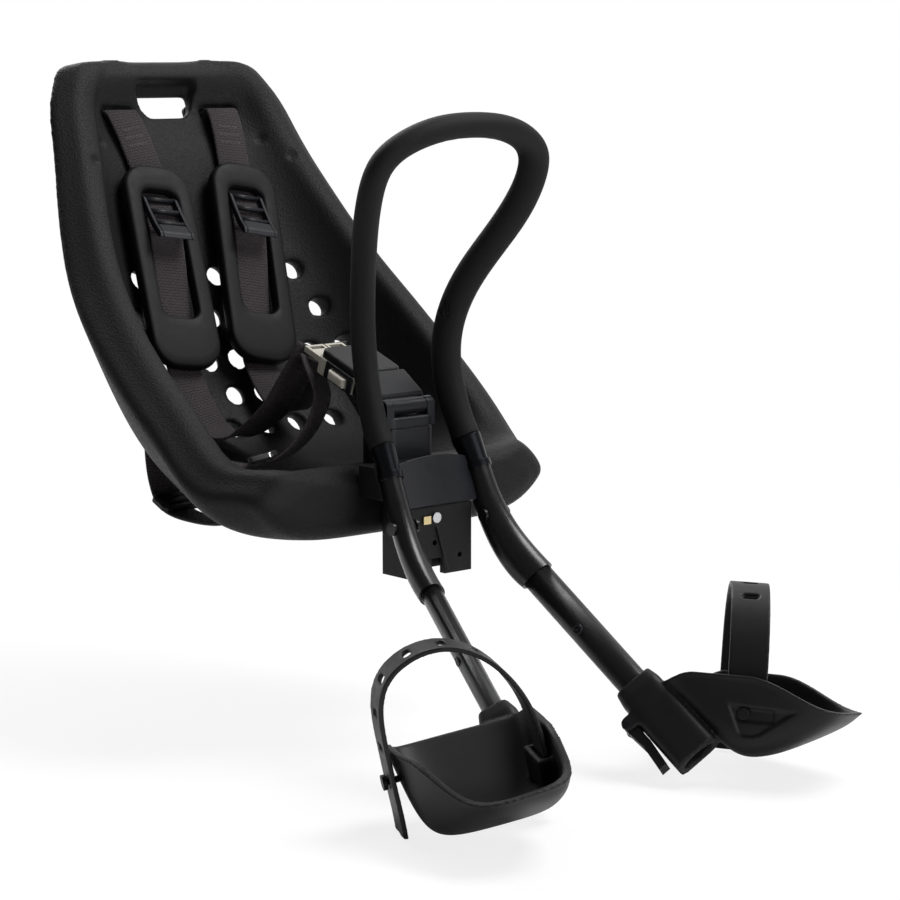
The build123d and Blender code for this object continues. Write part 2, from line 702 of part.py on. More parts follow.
def mount_socket():
    """Moulded block with a pocket below and a saddle arm behind each sleeve."""
    profile = Polyline(
        (0, 0),
        (0, SOCKET_FRONT_HEIGHT),
        (SOCKET_NECK_SETBACK, SOCKET_TOP),
        (SOCKET_DEPTH, SOCKET_TOP),
        (SOCKET_DEPTH, 0),
        close=True,
    )
    side_view = make_face(profile)
    body = extrude(Plane.YZ * side_view, SOCKET_HALF_WIDTH, both=True)
    body = fillet(body.edges().filter_by(Axis.Z), SOCKET_ROUND)
    above = Pos(SOCKET_DEPTH / 2, ARM_BOTTOM + SOCKET_TOP / 2) * Rectangle(2 * SOCKET_DEPTH, SOCKET_TOP)
    body += extrude(Plane.YZ * (side_view & above), ARM_REACH, both=True)
    pocket_width = 2 * (SOCKET_HALF_WIDTH - SOCKET_SIDE_WALL)
    pocket = Rectangle(pocket_width, SOCKET_DEPTH - 2 * SOCKET_WALL)
    body -= Pos(0, SOCKET_DEPTH / 2) * extrude(pocket, SOCKET_POCKET_HEIGHT)
    notch = Pos((NOTCH_LEFT + NOTCH_RIGHT) / 2, 0) * Rectangle(NOTCH_LEFT - NOTCH_RIGHT, 2 * SOCKET_WALL)
    body -= extrude(notch, NOTCH_HEIGHT)
    for x, z in FACE_HOLES:
        body -= face_drill(x, z) * extrude(Circle(FACE_HOLE_RADIUS), -SOCKET_WALL)
    ridge = make_face(trace(Line(RIDGE_TOP, RIDGE_FOOT), RIDGE_WIDTH).edges())
    body += extrude(Plane.XZ * ridge, RIDGE_WIDTH)
    body -= latch_screw(PIN_GAP) + latch_block(PIN_GAP)
    return body - frame_clearance()


def face_drill(x, z):
    """Plane on the socket's front face, facing forwards."""
    return Plane(origin=(x, 0, z), x_dir=(1, 0, 0), z_dir=(0, -1, 0))


def latch_screw(gap=0.0):
    """Round-headed screw in the socket's front face."""
    place = face_drill(LATCH_SCREW_X, LATCH_SCREW_Z)
    shank = extrude(Circle(LATCH_SCREW_RADIUS + gap), -LATCH_SCREW_DEPTH)
    return place * (shank + extrude(Circle(LATCH_HEAD_RADIUS), LATCH_HEAD_THICK))


def latch_block(gap=0.0):
    """Small metal stop let into the socket's front face."""
    place = face_drill(LATCH_BLOCK_X, LATCH_BLOCK_Z)
    body = Rectangle(LATCH_BLOCK_WIDTH + 2 * gap, LATCH_BLOCK_HEIGHT + 2 * gap)
    return place * (extrude(body, -LATCH_BLOCK_DEPTH) + extrude(body, LATCH_BLOCK_PROUD))


def bridge_plate():
    """Bulged cover plate on the socket's slanted face, between the sleeves."""
    rise = SOCKET_TOP - SOCKET_FRONT_HEIGHT
    slant = Plane(
        origin=(0, SOCKET_NECK_SETBACK / 2, SOCKET_FRONT_HEIGHT + rise / 2),
        x_dir=(1, 0, 0),
        z_dir=(0, -rise, SOCKET_NECK_SETBACK),
    )
    side = PLATE_HALF_WIDTH
    front = ThreePointArc((side, PLATE_EDGE), (0, PLATE_EDGE + PLATE_BULGE), (-side, PLATE_EDGE))
    back = Polyline((-side, PLATE_EDGE), (-side, 0), (side, 0), (side, PLATE_EDGE))
    body = extrude(Plane.XZ * make_face([front, back]), PLATE_HEIGHT, both=True)
    half = PLATE_HEIGHT / 2
    top = ThreePointArc((side, half), (0, half + PLATE_BOW), (-side, half))
    sides = Polyline((-side, half), (-side, -half), (side, -half), (side, half))
    outline = make_face([top, sides])
    outline = fillet(outline.vertices(), PLATE_ROUND)
    body = body & extrude(outline, PLATE_HEIGHT)
    return slant * body - frame_clearance()


def bracket_blank(gap=0.0):
    """Angle plate that carries the bucket on the socket's back."""
    length = BRACKET_BACK - SOCKET_DEPTH
    middle = SOCKET_DEPTH + length / 2
    tongue = Box(2 * (BRACKET_HALF_WIDTH + gap), length + 2 * gap, BRACKET_THICK + 2 * gap)
    tongue = fillet(tongue.edges().filter_by(Axis.Z).group_by(Axis.Y)[-1], BRACKET_ROUND)
    flange_height = FLANGE_TOP - FLANGE_BOTTOM
    flange = Box(2 * (BRACKET_HALF_WIDTH + gap), FLANGE_THICK + 2 * gap, flange_height + 2 * gap)
    body = Pos(0, middle, BRACKET_TOP - BRACKET_THICK / 2) * tongue
    return body + Pos(0, SOCKET_DEPTH + FLANGE_THICK / 2, FLANGE_BOTTOM + flange_height / 2) * flange


def bracket_screws(gap=0.0, head_thick=BRACKET_HEAD_THICK):
    """Screws up through the bracket's tongue into the foam."""
    seat = BRACKET_TOP - BRACKET_THICK
    screws = []
    for y in BRACKET_SCREW_Y:
        for x in (BRACKET_SCREW_X, -BRACKET_SCREW_X):
            screw = extrude(Circle(BRACKET_SCREW_RADIUS + gap), BRACKET_SCREW_LENGTH)
            screw += extrude(Circle(BRACKET_HEAD_RADIUS + gap), -head_thick)
            screws.append(Pos(x, y, seat) * screw)
    return screws


def post_block(bottom, top, gap=0.0):
    """Rounded block on the crotch post's plan between two heights."""
    length = POST_BACK - POST_FRONT
    plan = RectangleRounded(2 * (POST_HALF_WIDTH + gap), length + 2 * gap, POST_ROUND)
    return Pos(0, (POST_FRONT + POST_BACK) / 2, bottom) * extrude(plan, top - bottom)


def crotch_post():
    """Post housing with a shadow groove under its lid."""
    groove = POST_SPLIT - LID_GROOVE
    return post_block(POST_BOTTOM, groove) + post_block(groove, POST_SPLIT, -LID_GROOVE)


def post_lid():
    """Lid with two hinge ears for the buckle's arm."""
    body = post_block(POST_SPLIT, LID_TOP)
    body = fillet(body.faces().sort_by(Axis.Z)[-1].edges(), LID_ROUND)
    ear = Pos(HINGE_Y, HINGE_Z) * Circle(HINGE_EAR_RADIUS)
    foot = HINGE_Z - POST_SPLIT
    ear += Pos(HINGE_Y, HINGE_Z - foot / 2) * Rectangle(2 * HINGE_EAR_RADIUS, foot)
    ear -= Pos(HINGE_Y, HINGE_Z) * Circle(HINGE_PIN_RADIUS + PIN_GAP)
    for side in (1, -1):
        start = POST_HALF_WIDTH - HINGE_EAR_WIDTH if side > 0 else -POST_HALF_WIDTH
        body += Plane.YZ.offset(start) * extrude(ear, HINGE_EAR_WIDTH)
    return body


def hinge_pin():
    """Plain pin through the lid's ears and the buckle's arm."""
    half = POST_HALF_WIDTH + HINGE_PIN_PROUD
    pin = extrude(Circle(HINGE_PIN_RADIUS), half, both=True)
    return Plane(origin=(0, HINGE_Y, HINGE_Z), z_dir=(1, 0, 0)) * pin


def arm_blank(gap=0.0):
    """Tapered arm with a knuckle on the hinge, in the buckle's frame."""
    knuckle_half = POST_HALF_WIDTH - HINGE_EAR_WIDTH - CLEARANCE + gap
    end_half = ARM_END_HALF_WIDTH + gap
    end = ARM_LENGTH + gap
    flare = HINGE_EAR_RADIUS + 2 * CLEARANCE
    plan = Polyline(
        (-knuckle_half, 0),
        (-knuckle_half, flare),
        (-end_half, end),
        (end_half, end),
        (knuckle_half, flare),
        (knuckle_half, 0),
        close=True,
    )
    arm = extrude(make_face(plan), ARM_THICK / 2 + gap, both=True)
    knuckle = extrude(Circle(HINGE_EAR_RADIUS - CLEARANCE), knuckle_half, both=True)
    return arm + Plane.YZ * knuckle


def buckle_arm():
    """Hinged arm that carries the buckle."""
    bore = extrude(Circle(HINGE_PIN_RADIUS + PIN_GAP), POST_HALF_WIDTH, both=True)
    return BUCKLE_FRAME * (arm_blank() - Plane.YZ * bore)


def buckle_base():
    """Buckle housing with slots for the tongues and pockets for the side buttons."""
    plan = RectangleRounded(2 * BUCKLE_HALF_WIDTH, BUCKLE_LENGTH, BUCKLE_ROUND)
    body = Pos(0, BUCKLE_START + BUCKLE_LENGTH / 2) * extrude(plan, BUCKLE_BASE_THICK / 2, both=True)
    body -= arm_blank(PIN_GAP)
    for side in (1, -1):
        body -= tongue_blank(side, PIN_GAP)
        body -= button_blank(side, SLIDE_GAP, BUTTON_TRAVEL)
    return BUCKLE_FRAME * body


def buckle_cover():
    """Crowned cover on the buckle's base."""
    side = 2 * (BUCKLE_HALF_WIDTH - BUCKLE_COVER_INSET)
    length = BUCKLE_LENGTH - 2 * BUCKLE_COVER_INSET
    plan = RectangleRounded(side, length, BUCKLE_ROUND - BUCKLE_COVER_INSET)
    body = Pos(0, BUCKLE_START + BUCKLE_LENGTH / 2, BUCKLE_BASE_THICK / 2) * extrude(plan, BUCKLE_COVER_THICK)
    body = fillet(body.faces().sort_by(Axis.Z)[-1].edges(), BUCKLE_COVER_ROUND)
    return BUCKLE_FRAME * body


def tongue_blank(side, gap=0.0):
    """Flat tongue held in the buckle, before its webbing eye."""
    start = BUCKLE_START + BUCKLE_LENGTH - TONGUE_INSERT - gap
    body = Rectangle(TONGUE_WIDTH + 2 * gap, TONGUE_END - start)
    body = Pos(side * TONGUE_X, (start + TONGUE_END) / 2) * body
    return extrude(body, TONGUE_THICK / 2 + gap, both=True)


def buckle_tongue(side):
    """Tongue with an eye for the webbing."""
    eye = Rectangle(TONGUE_WIDTH - TONGUE_EYE_INSET, TONGUE_EYE_LENGTH)
    eye = Pos(side * TONGUE_X, TONGUE_END - TONGUE_EYE_INSET) * extrude(eye, TONGUE_THICK, both=True)
    return BUCKLE_FRAME * (tongue_blank(side) - eye)


def button_blank(side, gap=0.0, travel=0.0):
    """Side button of the buckle, with room for its travel when cutting its pocket."""
    width = BUTTON_DEPTH + BUTTON_PROUD + travel + gap
    inner = BUCKLE_HALF_WIDTH - BUTTON_DEPTH - travel - gap
    body = Box(width, BUTTON_LENGTH + 2 * gap, BUTTON_THICK + 2 * gap)
    if gap == 0:
        outer = body.faces().sort_by(Axis.X)[-1 if side > 0 else 0]
        body = fillet(outer.edges(), BUTTON_ROUND)
    return Pos(side * (inner + width / 2), BUTTON_START + BUTTON_LENGTH / 2) * body


def heel_point(away, level):
    """Side-view point at a level on the line beside the leg at a distance from it."""
    run = LEG_DIRECTION.dot(FOOT_FRAME.x_dir)
    drop = LEG_DIRECTION.dot(FOOT_FRAME.z_dir)
    length = sqrt(run**2 + drop**2)
    along = (level - run * away / length) / drop
    return (along * run - drop * away / length, level)


def cup_plan():
    """Plan of a foot cup at its rim."""
    corners = [(along, out) for along, out, _ in CUP_OUTLINE]
    return make_face(FilletPolyline(*corners, radius=[row[2] for row in CUP_OUTLINE], close=True))


def cup_front():
    """Front view of a foot cup: upright sides, and a sole that rises beside the leg."""
    inner = min(row[1] for row in CUP_OUTLINE)
    outer = max(row[1] for row in CUP_OUTLINE)
    corners = [
        (inner, CUP_TOP),
        (inner, SOLE_INNER_RISE - VEE_DEPTH),
        (inner + SOLE_INNER_RUN, -VEE_DEPTH),
        (outer, -VEE_DEPTH),
        (outer, CUP_TOP),
    ]
    rounds = [0, SOLE_INNER_ROUND, SOLE_INNER_ROUND, SOLE_OUTER_ROUND, 0]
    return make_face(FilletPolyline(*corners, radius=rounds, close=True))


def cup_block(plan, front):
    """Block common to a plan and a front view of the cup."""
    upright = Pos(0, 0, -VEE_DEPTH) * extrude(plan, VEE_DEPTH + CUP_TOP)
    return upright & extrude(Plane.YZ * front, TOE_REACH)


def cup_hollow():
    """Inside of a foot cup, open at the top."""
    inner = [
        heel_point(HEEL_OFFSET + CUP_WALL, CUP_TOP),
        heel_point(HEEL_OFFSET + CUP_WALL, CUP_WALL - VEE_DEPTH),
        (TOE_REACH, CUP_WALL - TOE_DROP),
        (TOE_REACH, CUP_TOP),
    ]
    hollow = make_face(FilletPolyline(*inner, radius=[0, VEE_ROUND - CUP_WALL, 0, 0], close=True))
    block = cup_block(offset(cup_plan(), -CUP_WALL), offset(cup_front(), -CUP_WALL))
    return block & extrude(Plane.XZ * hollow, TOE_REACH, both=True)


def cup_blank():
    """Foot cup before it is hollowed: plan, front view and side profile in one."""
    outer = [
        heel_point(HEEL_OFFSET, RIM_HEEL),
        heel_point(HEEL_OFFSET, -VEE_DEPTH),
        (TOE_REACH, -TOE_DROP),
        (TOE_REACH, -RIM_TOE_DROP),
        (RIM_TOE_REACH, -RIM_TOE_DROP),
        (RIM_SHOULDER, RIM_HEIGHT),
        (RIM_RISE_AT, RIM_HEIGHT),
    ]
    rounds = [0, VEE_ROUND, 0, 0, RIM_SWEEP, RIM_SWEEP, RIM_DIP_ROUND]
    profile = make_face(FilletPolyline(*outer, radius=rounds, close=True))
    return cup_block(cup_plan(), cup_front()) & extrude(Plane.XZ * profile, TOE_REACH, both=True)


def strap_boss():
    """Pocket on the cup's inner wall that the strap's end drops into."""
    wall = wall_face(-1, STRAP_INNER_AT) + CUP_WALL
    pocket = STRAP_THICK + 6 * CLEARANCE
    length = STRAP_WIDTH + 4 * CLEARANCE
    tall = VEE_DEPTH + BOSS_TOP
    boss = Box(length + 2 * BOSS_WALL, CUP_WALL + pocket + BOSS_WALL, tall)
    boss = Pos(STRAP_INNER_AT, wall + (pocket + BOSS_WALL - CUP_WALL) / 2, BOSS_TOP - tall / 2) * boss
    deep = BOSS_TOP - STRAP_FOOT + 2 * CLEARANCE
    room = Box(length, pocket, 2 * deep)
    return boss - Pos(STRAP_INNER_AT, wall + pocket / 2, BOSS_TOP) * room


def boot_bar(gap, above, below):
    """Oval bar round the leg between two distances from the footrest's entry."""
    return leg_bar(FOOT_ENTRY - above, FOOT_ENTRY + below, gap)


def lever_plane():
    """Side view of the release lever: X down the leg, Y away from it."""
    leg = leg_plane(FOOT_ENTRY)
    return Plane(origin=leg.origin, x_dir=LEG_DIRECTION, z_dir=leg.y_dir * -1)


def lever_ears():
    """Ears on the boot that hold the lever's pin."""
    ear = Pos(LEVER_PIVOT, LEVER_HEIGHT) * Circle(LEVER_EAR_RADIUS)
    ear += Pos(LEVER_PIVOT, LEVER_HEIGHT / 2) * Rectangle(2 * LEVER_EAR_RADIUS, LEVER_HEIGHT)
    ear -= Pos(LEVER_PIVOT, LEVER_HEIGHT) * Circle(LEVER_PIN_RADIUS + PIN_GAP)
    inner = LEVER_HALF_WIDTH + CLEARANCE
    ears = Pos(0, 0, inner) * extrude(ear, LEVER_EAR_THICK)
    ears += Pos(0, 0, -inner) * extrude(ear, -LEVER_EAR_THICK)
    return lever_plane() * ears


def footrest_lever():
    """Release lever with a rounded eye and a kicked-up finger end."""
    low = LEVER_HEIGHT - LEVER_EYE_RADIUS
    high = low + LEVER_THICK
    end = LEVER_PIVOT + LEVER_LENGTH
    bend = LEVER_PIVOT + LEVER_LENGTH / 2
    side = Polyline(
        (LEVER_PIVOT, low),
        (bend, low),
        (end, low + LEVER_KICK),
        (end, high + LEVER_KICK),
        (bend, high),
        (LEVER_PIVOT, LEVER_HEIGHT + LEVER_EYE_RADIUS),
        close=True,
    )
    body = make_face(side) + Pos(LEVER_PIVOT, LEVER_HEIGHT) * Circle(LEVER_EYE_RADIUS)
    body -= Pos(LEVER_PIVOT, LEVER_HEIGHT) * Circle(LEVER_PIN_RADIUS + PIN_GAP)
    return lever_plane() * extrude(body, LEVER_HALF_WIDTH, both=True)


def lever_pin():
    """Pin through the boot's ears and the lever."""
    half = LEVER_HALF_WIDTH + CLEARANCE + LEVER_EAR_THICK
    pin = Pos(LEVER_PIVOT, LEVER_HEIGHT) * Circle(LEVER_PIN_RADIUS)
    return lever_plane() * extrude(pin, half, both=True)


def wall_face(side, along):
    """Distance outwards of the cup's outer face at a distance towards the toe."""
    outs = sorted((row[0], row[1]) for row in CUP_OUTLINE if row[1] * side > 0)
    before = [row for row in outs if row[0] <= along][-1]
    after = [row for row in outs if row[0] > along][0]
    share = (along - before[0]) / (after[0] - before[0])
    return before[1] + share * (after[1] - before[1])


def strap_seat(side):
    """Distance outwards of the strap's middle where it lies on the cup's wall."""
    away = 3 * CLEARANCE + STRAP_THICK / 2
    if side > 0:
        return wall_face(side, STRAP_OUTER_AT) + away
    return wall_face(side, STRAP_INNER_AT) + CUP_WALL + away


def strap_plane():
    """Side view of the foot strap, X from its inner seat to its outer one."""
    start = Vector(STRAP_INNER_AT, strap_seat(-1), 0)
    run = (Vector(STRAP_OUTER_AT, strap_seat(1), 0) - start).normalized()
    return Plane(origin=start, x_dir=run, z_dir=(run.Y, -run.X, 0))


def strap_line():
    """Middle line of the foot strap, from its end in the boss to its tail."""
    plane = strap_plane()
    reach = (strap_seat(1) - strap_seat(-1)) / plane.x_dir.Y
    arch = [((out - strap_seat(-1)) / plane.x_dir.Y, up) for out, up in STRAP_ARCH]
    tail = [(reach, level) for level in (RIM_HEIGHT, PEG_LEVEL, STRAP_TAIL)]
    return Spline((0, STRAP_FOOT), (0, BOSS_TOP), *arch, *tail)


def foot_strap():
    """Rubber strap over the shoe, slanting across it, with a row of slots for its peg."""
    plane = strap_plane()
    line = strap_line()
    band = extrude(plane * trace(line, STRAP_THICK), STRAP_WIDTH, dir=(1, 0, 0))
    body = Pos(-STRAP_WIDTH / 2, 0, 0) * band
    middle = plane * line
    peg = middle.param_at_point(plane.from_local_coords(Vector(line.position_at(1).X, PEG_LEVEL, 0)))
    for count in range(STRAP_SLOTS):
        spot = peg - count * STRAP_SLOT_PITCH / middle.length
        through = (middle % spot).cross(Vector(1, 0, 0))
        slot = extrude(SlotOverall(STRAP_SLOT_LENGTH, STRAP_SLOT_HEIGHT), 2 * STRAP_THICK, both=True)
        body -= Plane(origin=middle @ spot, x_dir=(1, 0, 0), z_dir=through) * slot
    hole = extrude(Circle(PEG_RADIUS + CLEARANCE), STRAP_WIDTH, both=True)
    return FOOT_FRAME * (body - peg_plane(-1, RIVET_LEVEL) * hole)


def peg_plane(side, level):
    """Plane on the cup's outer face at a peg, facing away from the cup."""
    along = STRAP_OUTER_AT if side > 0 else STRAP_INNER_AT
    return Plane(origin=(along, wall_face(side, along), level), x_dir=(1, 0, 0), z_dir=(0, side, 0))


def strap_pegs(gap=0.0):
    """Peg for the strap's slots outside the cup and rivet for its end in the boss."""
    over = 4 * CLEARANCE + STRAP_THICK
    shank = Circle(PEG_RADIUS + gap)
    peg = extrude(shank, over + PEG_HEAD_THICK) + extrude(shank, -CUP_WALL)
    peg += Pos(0, 0, over + 2 * CLEARANCE) * extrude(Circle(PEG_HEAD_RADIUS + gap), PEG_HEAD_THICK)
    grip = CUP_WALL + STRAP_THICK + 6 * CLEARANCE + BOSS_WALL / 2
    rivet = Pos(0, 0, -RECESS_DEPTH) * extrude(Circle(RIVET_CAP_RADIUS + gap), RIVET_CAP_THICK)
    rivet += Pos(0, 0, -RECESS_DEPTH) * extrude(Circle(PEG_RADIUS + gap), RECESS_DEPTH - grip)
    return [FOOT_FRAME * peg_plane(1, PEG_LEVEL) * peg, FOOT_FRAME * peg_plane(-1, RIVET_LEVEL) * rivet]


def footrest():
    """Foot cup with its boot on the leg, strap boss, lever ears, recess and feet."""
    blank = cup_blank()
    body = blank - cup_hollow() + (strap_boss() & blank)
    for out in BUMP_PLACES:
        along = heel_point(HEEL_OFFSET, -VEE_DEPTH)[0]
        bump = extrude(Circle(BUMP_RADIUS), VEE_ROUND)
        body += Pos(along, out, -VEE_DEPTH - BUMP_DEPTH) * bump - cup_hollow()
    recess = make_face(FilletPolyline(*RECESS_CORNERS, radius=RECESS_ROUND, close=True))
    side = Plane(origin=(0, wall_face(-1, STRAP_INNER_AT), 0), x_dir=(1, 0, 0), z_dir=(0, -1, 0))
    body -= side * extrude(recess, RECESS_DEPTH, both=True)
    body = FOOT_FRAME * body
    body += boot_bar(BOOT_WALL, BOOT_ABOVE, BOOT_BELOW) + lever_ears()
    body -= boot_bar(SLIDE_GAP, 2 * BOOT_BELOW, 2 * BOOT_BELOW)
    for cutter in strap_pegs(PIN_GAP):
        body -= cutter
    return body


def mirrored(shape):
    """The same piece on the child's right."""
    return mirror(shape, about=Plane.YZ)


def add(name, shape):
    """Keep a finished piece under its node name."""
    PARTS[name] = shape


def add_pair(name, shape):
    """Keep a left piece and its mirror image."""
    add(f"{name}_left", shape)
    add(f"{name}_right", mirrored(shape))


def build_seat():
    """Bucket, bracket, socket and crotch post."""
    bracket_cut = bracket_blank(CLEARANCE)
    post_cut = post_block(POST_BOTTOM - CLEARANCE, LID_TOP, CLEARANCE)
    screw_cuts = bracket_screws(CLEARANCE, BRACKET_TOP)
    socket_room = Pos(0, CLEARANCE, SOCKET_TOP / 2) * Box(2 * ARM_REACH, 2 * SOCKET_DEPTH, SOCKET_TOP)
    shell = seat_shell([bracket_cut, post_cut, socket_room, *screw_cuts])
    add("seat_shell", shell)
    bracket = bracket_blank()
    for cutter in bracket_screws(PIN_GAP):
        bracket -= cutter
    add("seat_bracket", bracket)
    add("bracket_screws", Compound(bracket_screws()))
    add("mount_socket", mount_socket())
    add("latch_screw", latch_screw())
    add("latch_block", latch_block())
    add("bridge_plate", bridge_plate())
    add("crotch_post", crotch_post())
    add("post_lid", post_lid())
    add("hinge_pin", hinge_pin())
    return shell


def build_frame():
    """Handle loop, its grip and collars, and the two lower legs."""
    add("frame_tube", frame_tube())
    add("grip_foam", grip_foam())
    bore = tube_bar(SKIN_GAP)
    add("collar_left", collar_blank() - bore)
    add("collar_right", mirrored(collar_blank()) - bore)
    add_pair("lower_leg", lower_leg())
    rivet = cross_rivet()
    add("leg_rivets", Compound([rivet, mirrored(rivet)]))


def build_buckle():
    """Hinged arm, buckle, tongues and side buttons."""
    add("buckle_arm", buckle_arm())
    add("buckle_base", buckle_base())
    add("buckle_cover", buckle_cover())
    for name, side in SIDES.items():
        add(f"buckle_tongue_{name}", buckle_tongue(side))
        add(f"buckle_button_{name}", BUCKLE_FRAME * button_blank(side))


def build_harness(shell):
    """Shoulder pads, webbing and its hardware."""
    pads = {"left": (LEFT_PAD_TOP, LEFT_PAD_FOOT), "right": (RIGHT_PAD_TOP, RIGHT_PAD_FOOT)}
    runs = {"left": LEFT_STRAP_RUN, "right": RIGHT_STRAP_RUN}
    for name, side in SIDES.items():
        plane = pad_plane(*pads[name])
        add(f"shoulder_pad_{name}", shoulder_pad(plane))
        add(f"strap_adjuster_{name}", strap_adjuster(plane))
        add(f"shoulder_strap_{name}", ribbon(strap_route(plane, side, runs[name]), WEB_WIDTH, WEB_THICK))
        add(f"strap_anchor_{name}", strap_anchor(side))
    below = -TONGUE_THICK / 2 - 2 * WEB_THICK
    hip_x = HIP_WEB_WIDTH / 2 + 2 * CLEARANCE
    hip_end = BUCKLE_FRAME.from_local_coords(Vector(hip_x, TONGUE_END - TONGUE_EYE_INSET, below))
    hip = [Vector(*point) for point in HIP_STRAP_RUN] + [hip_end]
    add_pair("hip_strap", clipped(ribbon(hip, HIP_WEB_WIDTH, WEB_THICK, HIP_STRAP_ACROSS), shell))
    lift = WEB_THICK / 2 + CLEARANCE
    twist_room = 3 * CLEARANCE
    spot = route_plane(hip, HIP_SLIDER_INDEX, HIP_STRAP_ACROSS)
    slider = web_slider(spot, HIP_WEB_WIDTH, lift + twist_room)
    add("hip_slider", mirrored(slider))
    rear = [Vector(REAR_STRAP_X, y, z) for y, z in REAR_STRAP_RUN]
    add_pair("rear_strap", clipped(ribbon(rear, HIP_WEB_WIDTH, WEB_THICK), shell))
    spot = route_plane(rear, REAR_SLIDER_INDEX)
    add_pair("rear_slider", web_slider(spot, HIP_WEB_WIDTH, lift + twist_room))


def build_footrests():
    """Foot cups with their straps, pegs and release levers."""
    add_pair("footrest", footrest())
    add_pair("foot_strap", foot_strap())
    add_pair("strap_pegs", Compound(strap_pegs()))
    add_pair("footrest_lever", footrest_lever())
    add_pair("lever_pin", lever_pin())


def export_parts():
    """Write one STEP file for each node."""
    os.makedirs("parts", exist_ok=True)
    for name, shape in PARTS.items():
        export_step(shape, f"parts/{name}.step")


build_harness(build_seat())
build_frame()
build_buckle()
build_footrests()
export_parts()
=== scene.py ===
"""Front-mounted child bicycle seat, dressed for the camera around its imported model.

Fields are millimetres and degrees unless a name says otherwise, and meshes are metres in the model's frame:
+Z is up, the child faces -Y and the child's left is +X.
"""

import json
import logging
from collections.abc import Callable
from dataclasses import dataclass, field
from enum import Enum
from functools import partial
from math import copysign, cos, hypot, pi, radians, sin

import bmesh
import bpy
import numpy as np
from mathutils import Matrix, Vector
from mathutils.bvhtree import BVHTree


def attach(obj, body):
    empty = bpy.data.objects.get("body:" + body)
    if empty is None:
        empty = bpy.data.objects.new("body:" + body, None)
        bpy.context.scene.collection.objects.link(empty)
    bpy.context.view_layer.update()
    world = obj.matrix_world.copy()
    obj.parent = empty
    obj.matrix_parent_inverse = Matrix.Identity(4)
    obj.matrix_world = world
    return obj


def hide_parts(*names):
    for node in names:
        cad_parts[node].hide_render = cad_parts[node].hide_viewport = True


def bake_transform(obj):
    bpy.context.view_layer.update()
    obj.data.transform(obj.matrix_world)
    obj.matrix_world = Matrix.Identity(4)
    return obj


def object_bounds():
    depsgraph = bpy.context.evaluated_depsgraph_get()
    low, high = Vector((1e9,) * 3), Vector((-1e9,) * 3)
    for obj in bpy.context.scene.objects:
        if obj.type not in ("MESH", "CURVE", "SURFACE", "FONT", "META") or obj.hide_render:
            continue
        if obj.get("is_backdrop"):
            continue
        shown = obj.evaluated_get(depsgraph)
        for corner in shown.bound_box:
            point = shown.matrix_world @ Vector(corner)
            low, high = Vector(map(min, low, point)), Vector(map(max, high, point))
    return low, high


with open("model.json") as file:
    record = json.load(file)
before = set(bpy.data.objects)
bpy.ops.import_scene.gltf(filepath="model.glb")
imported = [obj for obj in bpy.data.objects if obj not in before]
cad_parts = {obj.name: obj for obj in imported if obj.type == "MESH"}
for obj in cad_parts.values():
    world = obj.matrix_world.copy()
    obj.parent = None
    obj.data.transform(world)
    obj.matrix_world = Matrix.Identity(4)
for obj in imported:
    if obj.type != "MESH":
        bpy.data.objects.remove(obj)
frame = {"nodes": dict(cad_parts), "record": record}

MM = 0.001
# Points closer than this are one point
MERGE = 0.002 * MM
# Squareness of a plain oval ring
OVAL = 2.0
SIDES = {"left": 1.0, "right": -1.0}
log = logging.getLogger("bike_seat")

Point = tuple[float, float, float]
Outline = tuple[tuple[float, float], ...]


def linear(code: str) -> tuple[float, float, float, float]:
    """Turn an sRGB hex colour to linear light.

    Args:
        code: six hex digits after a hash sign.

    Returns:
        Red, green, blue and full alpha.
    """
    shares = [int(code[place : place + 2], 16) / 255 for place in (1, 3, 5)]
    light = [s / 12.92 if s <= 0.04045 else ((s + 0.055) / 1.055) ** 2.4 for s in shares]
    return (light[0], light[1], light[2], 1.0)


def add_node(
    tree: bpy.types.NodeTree, kind: str, inputs: dict | None = None, **settings: object
) -> bpy.types.Node:
    """Add a node with its settings, values and links.

    Args:
        tree: node tree that gets the node.
        kind: Blender's name of the node type.
        inputs: value or output socket for each input, by name or place.
        **settings: properties of the node itself.

    Returns:
        The new node.
    """
    node = tree.nodes.new(kind)
    for name, value in settings.items():
        setattr(node, name, value)
    for name, value in (inputs or {}).items():
        if isinstance(value, bpy.types.NodeSocket):
            tree.links.new(value, node.inputs[name])
        else:
            node.inputs[name].default_value = value
    return node


class Grain(Enum):
    """Ways a surface was made, each with its own relief."""

    LEATHER = "pebbles pressed by a grained mould"
    CELLS = "skin of blown foam cells"
    SPARK = "spark-eroded mould"
    PEEL = "slow waves of paint or polished mould"
    BRUSHED = "fine lines drawn one way"
    WEAVE = "threads over and under along a strap"


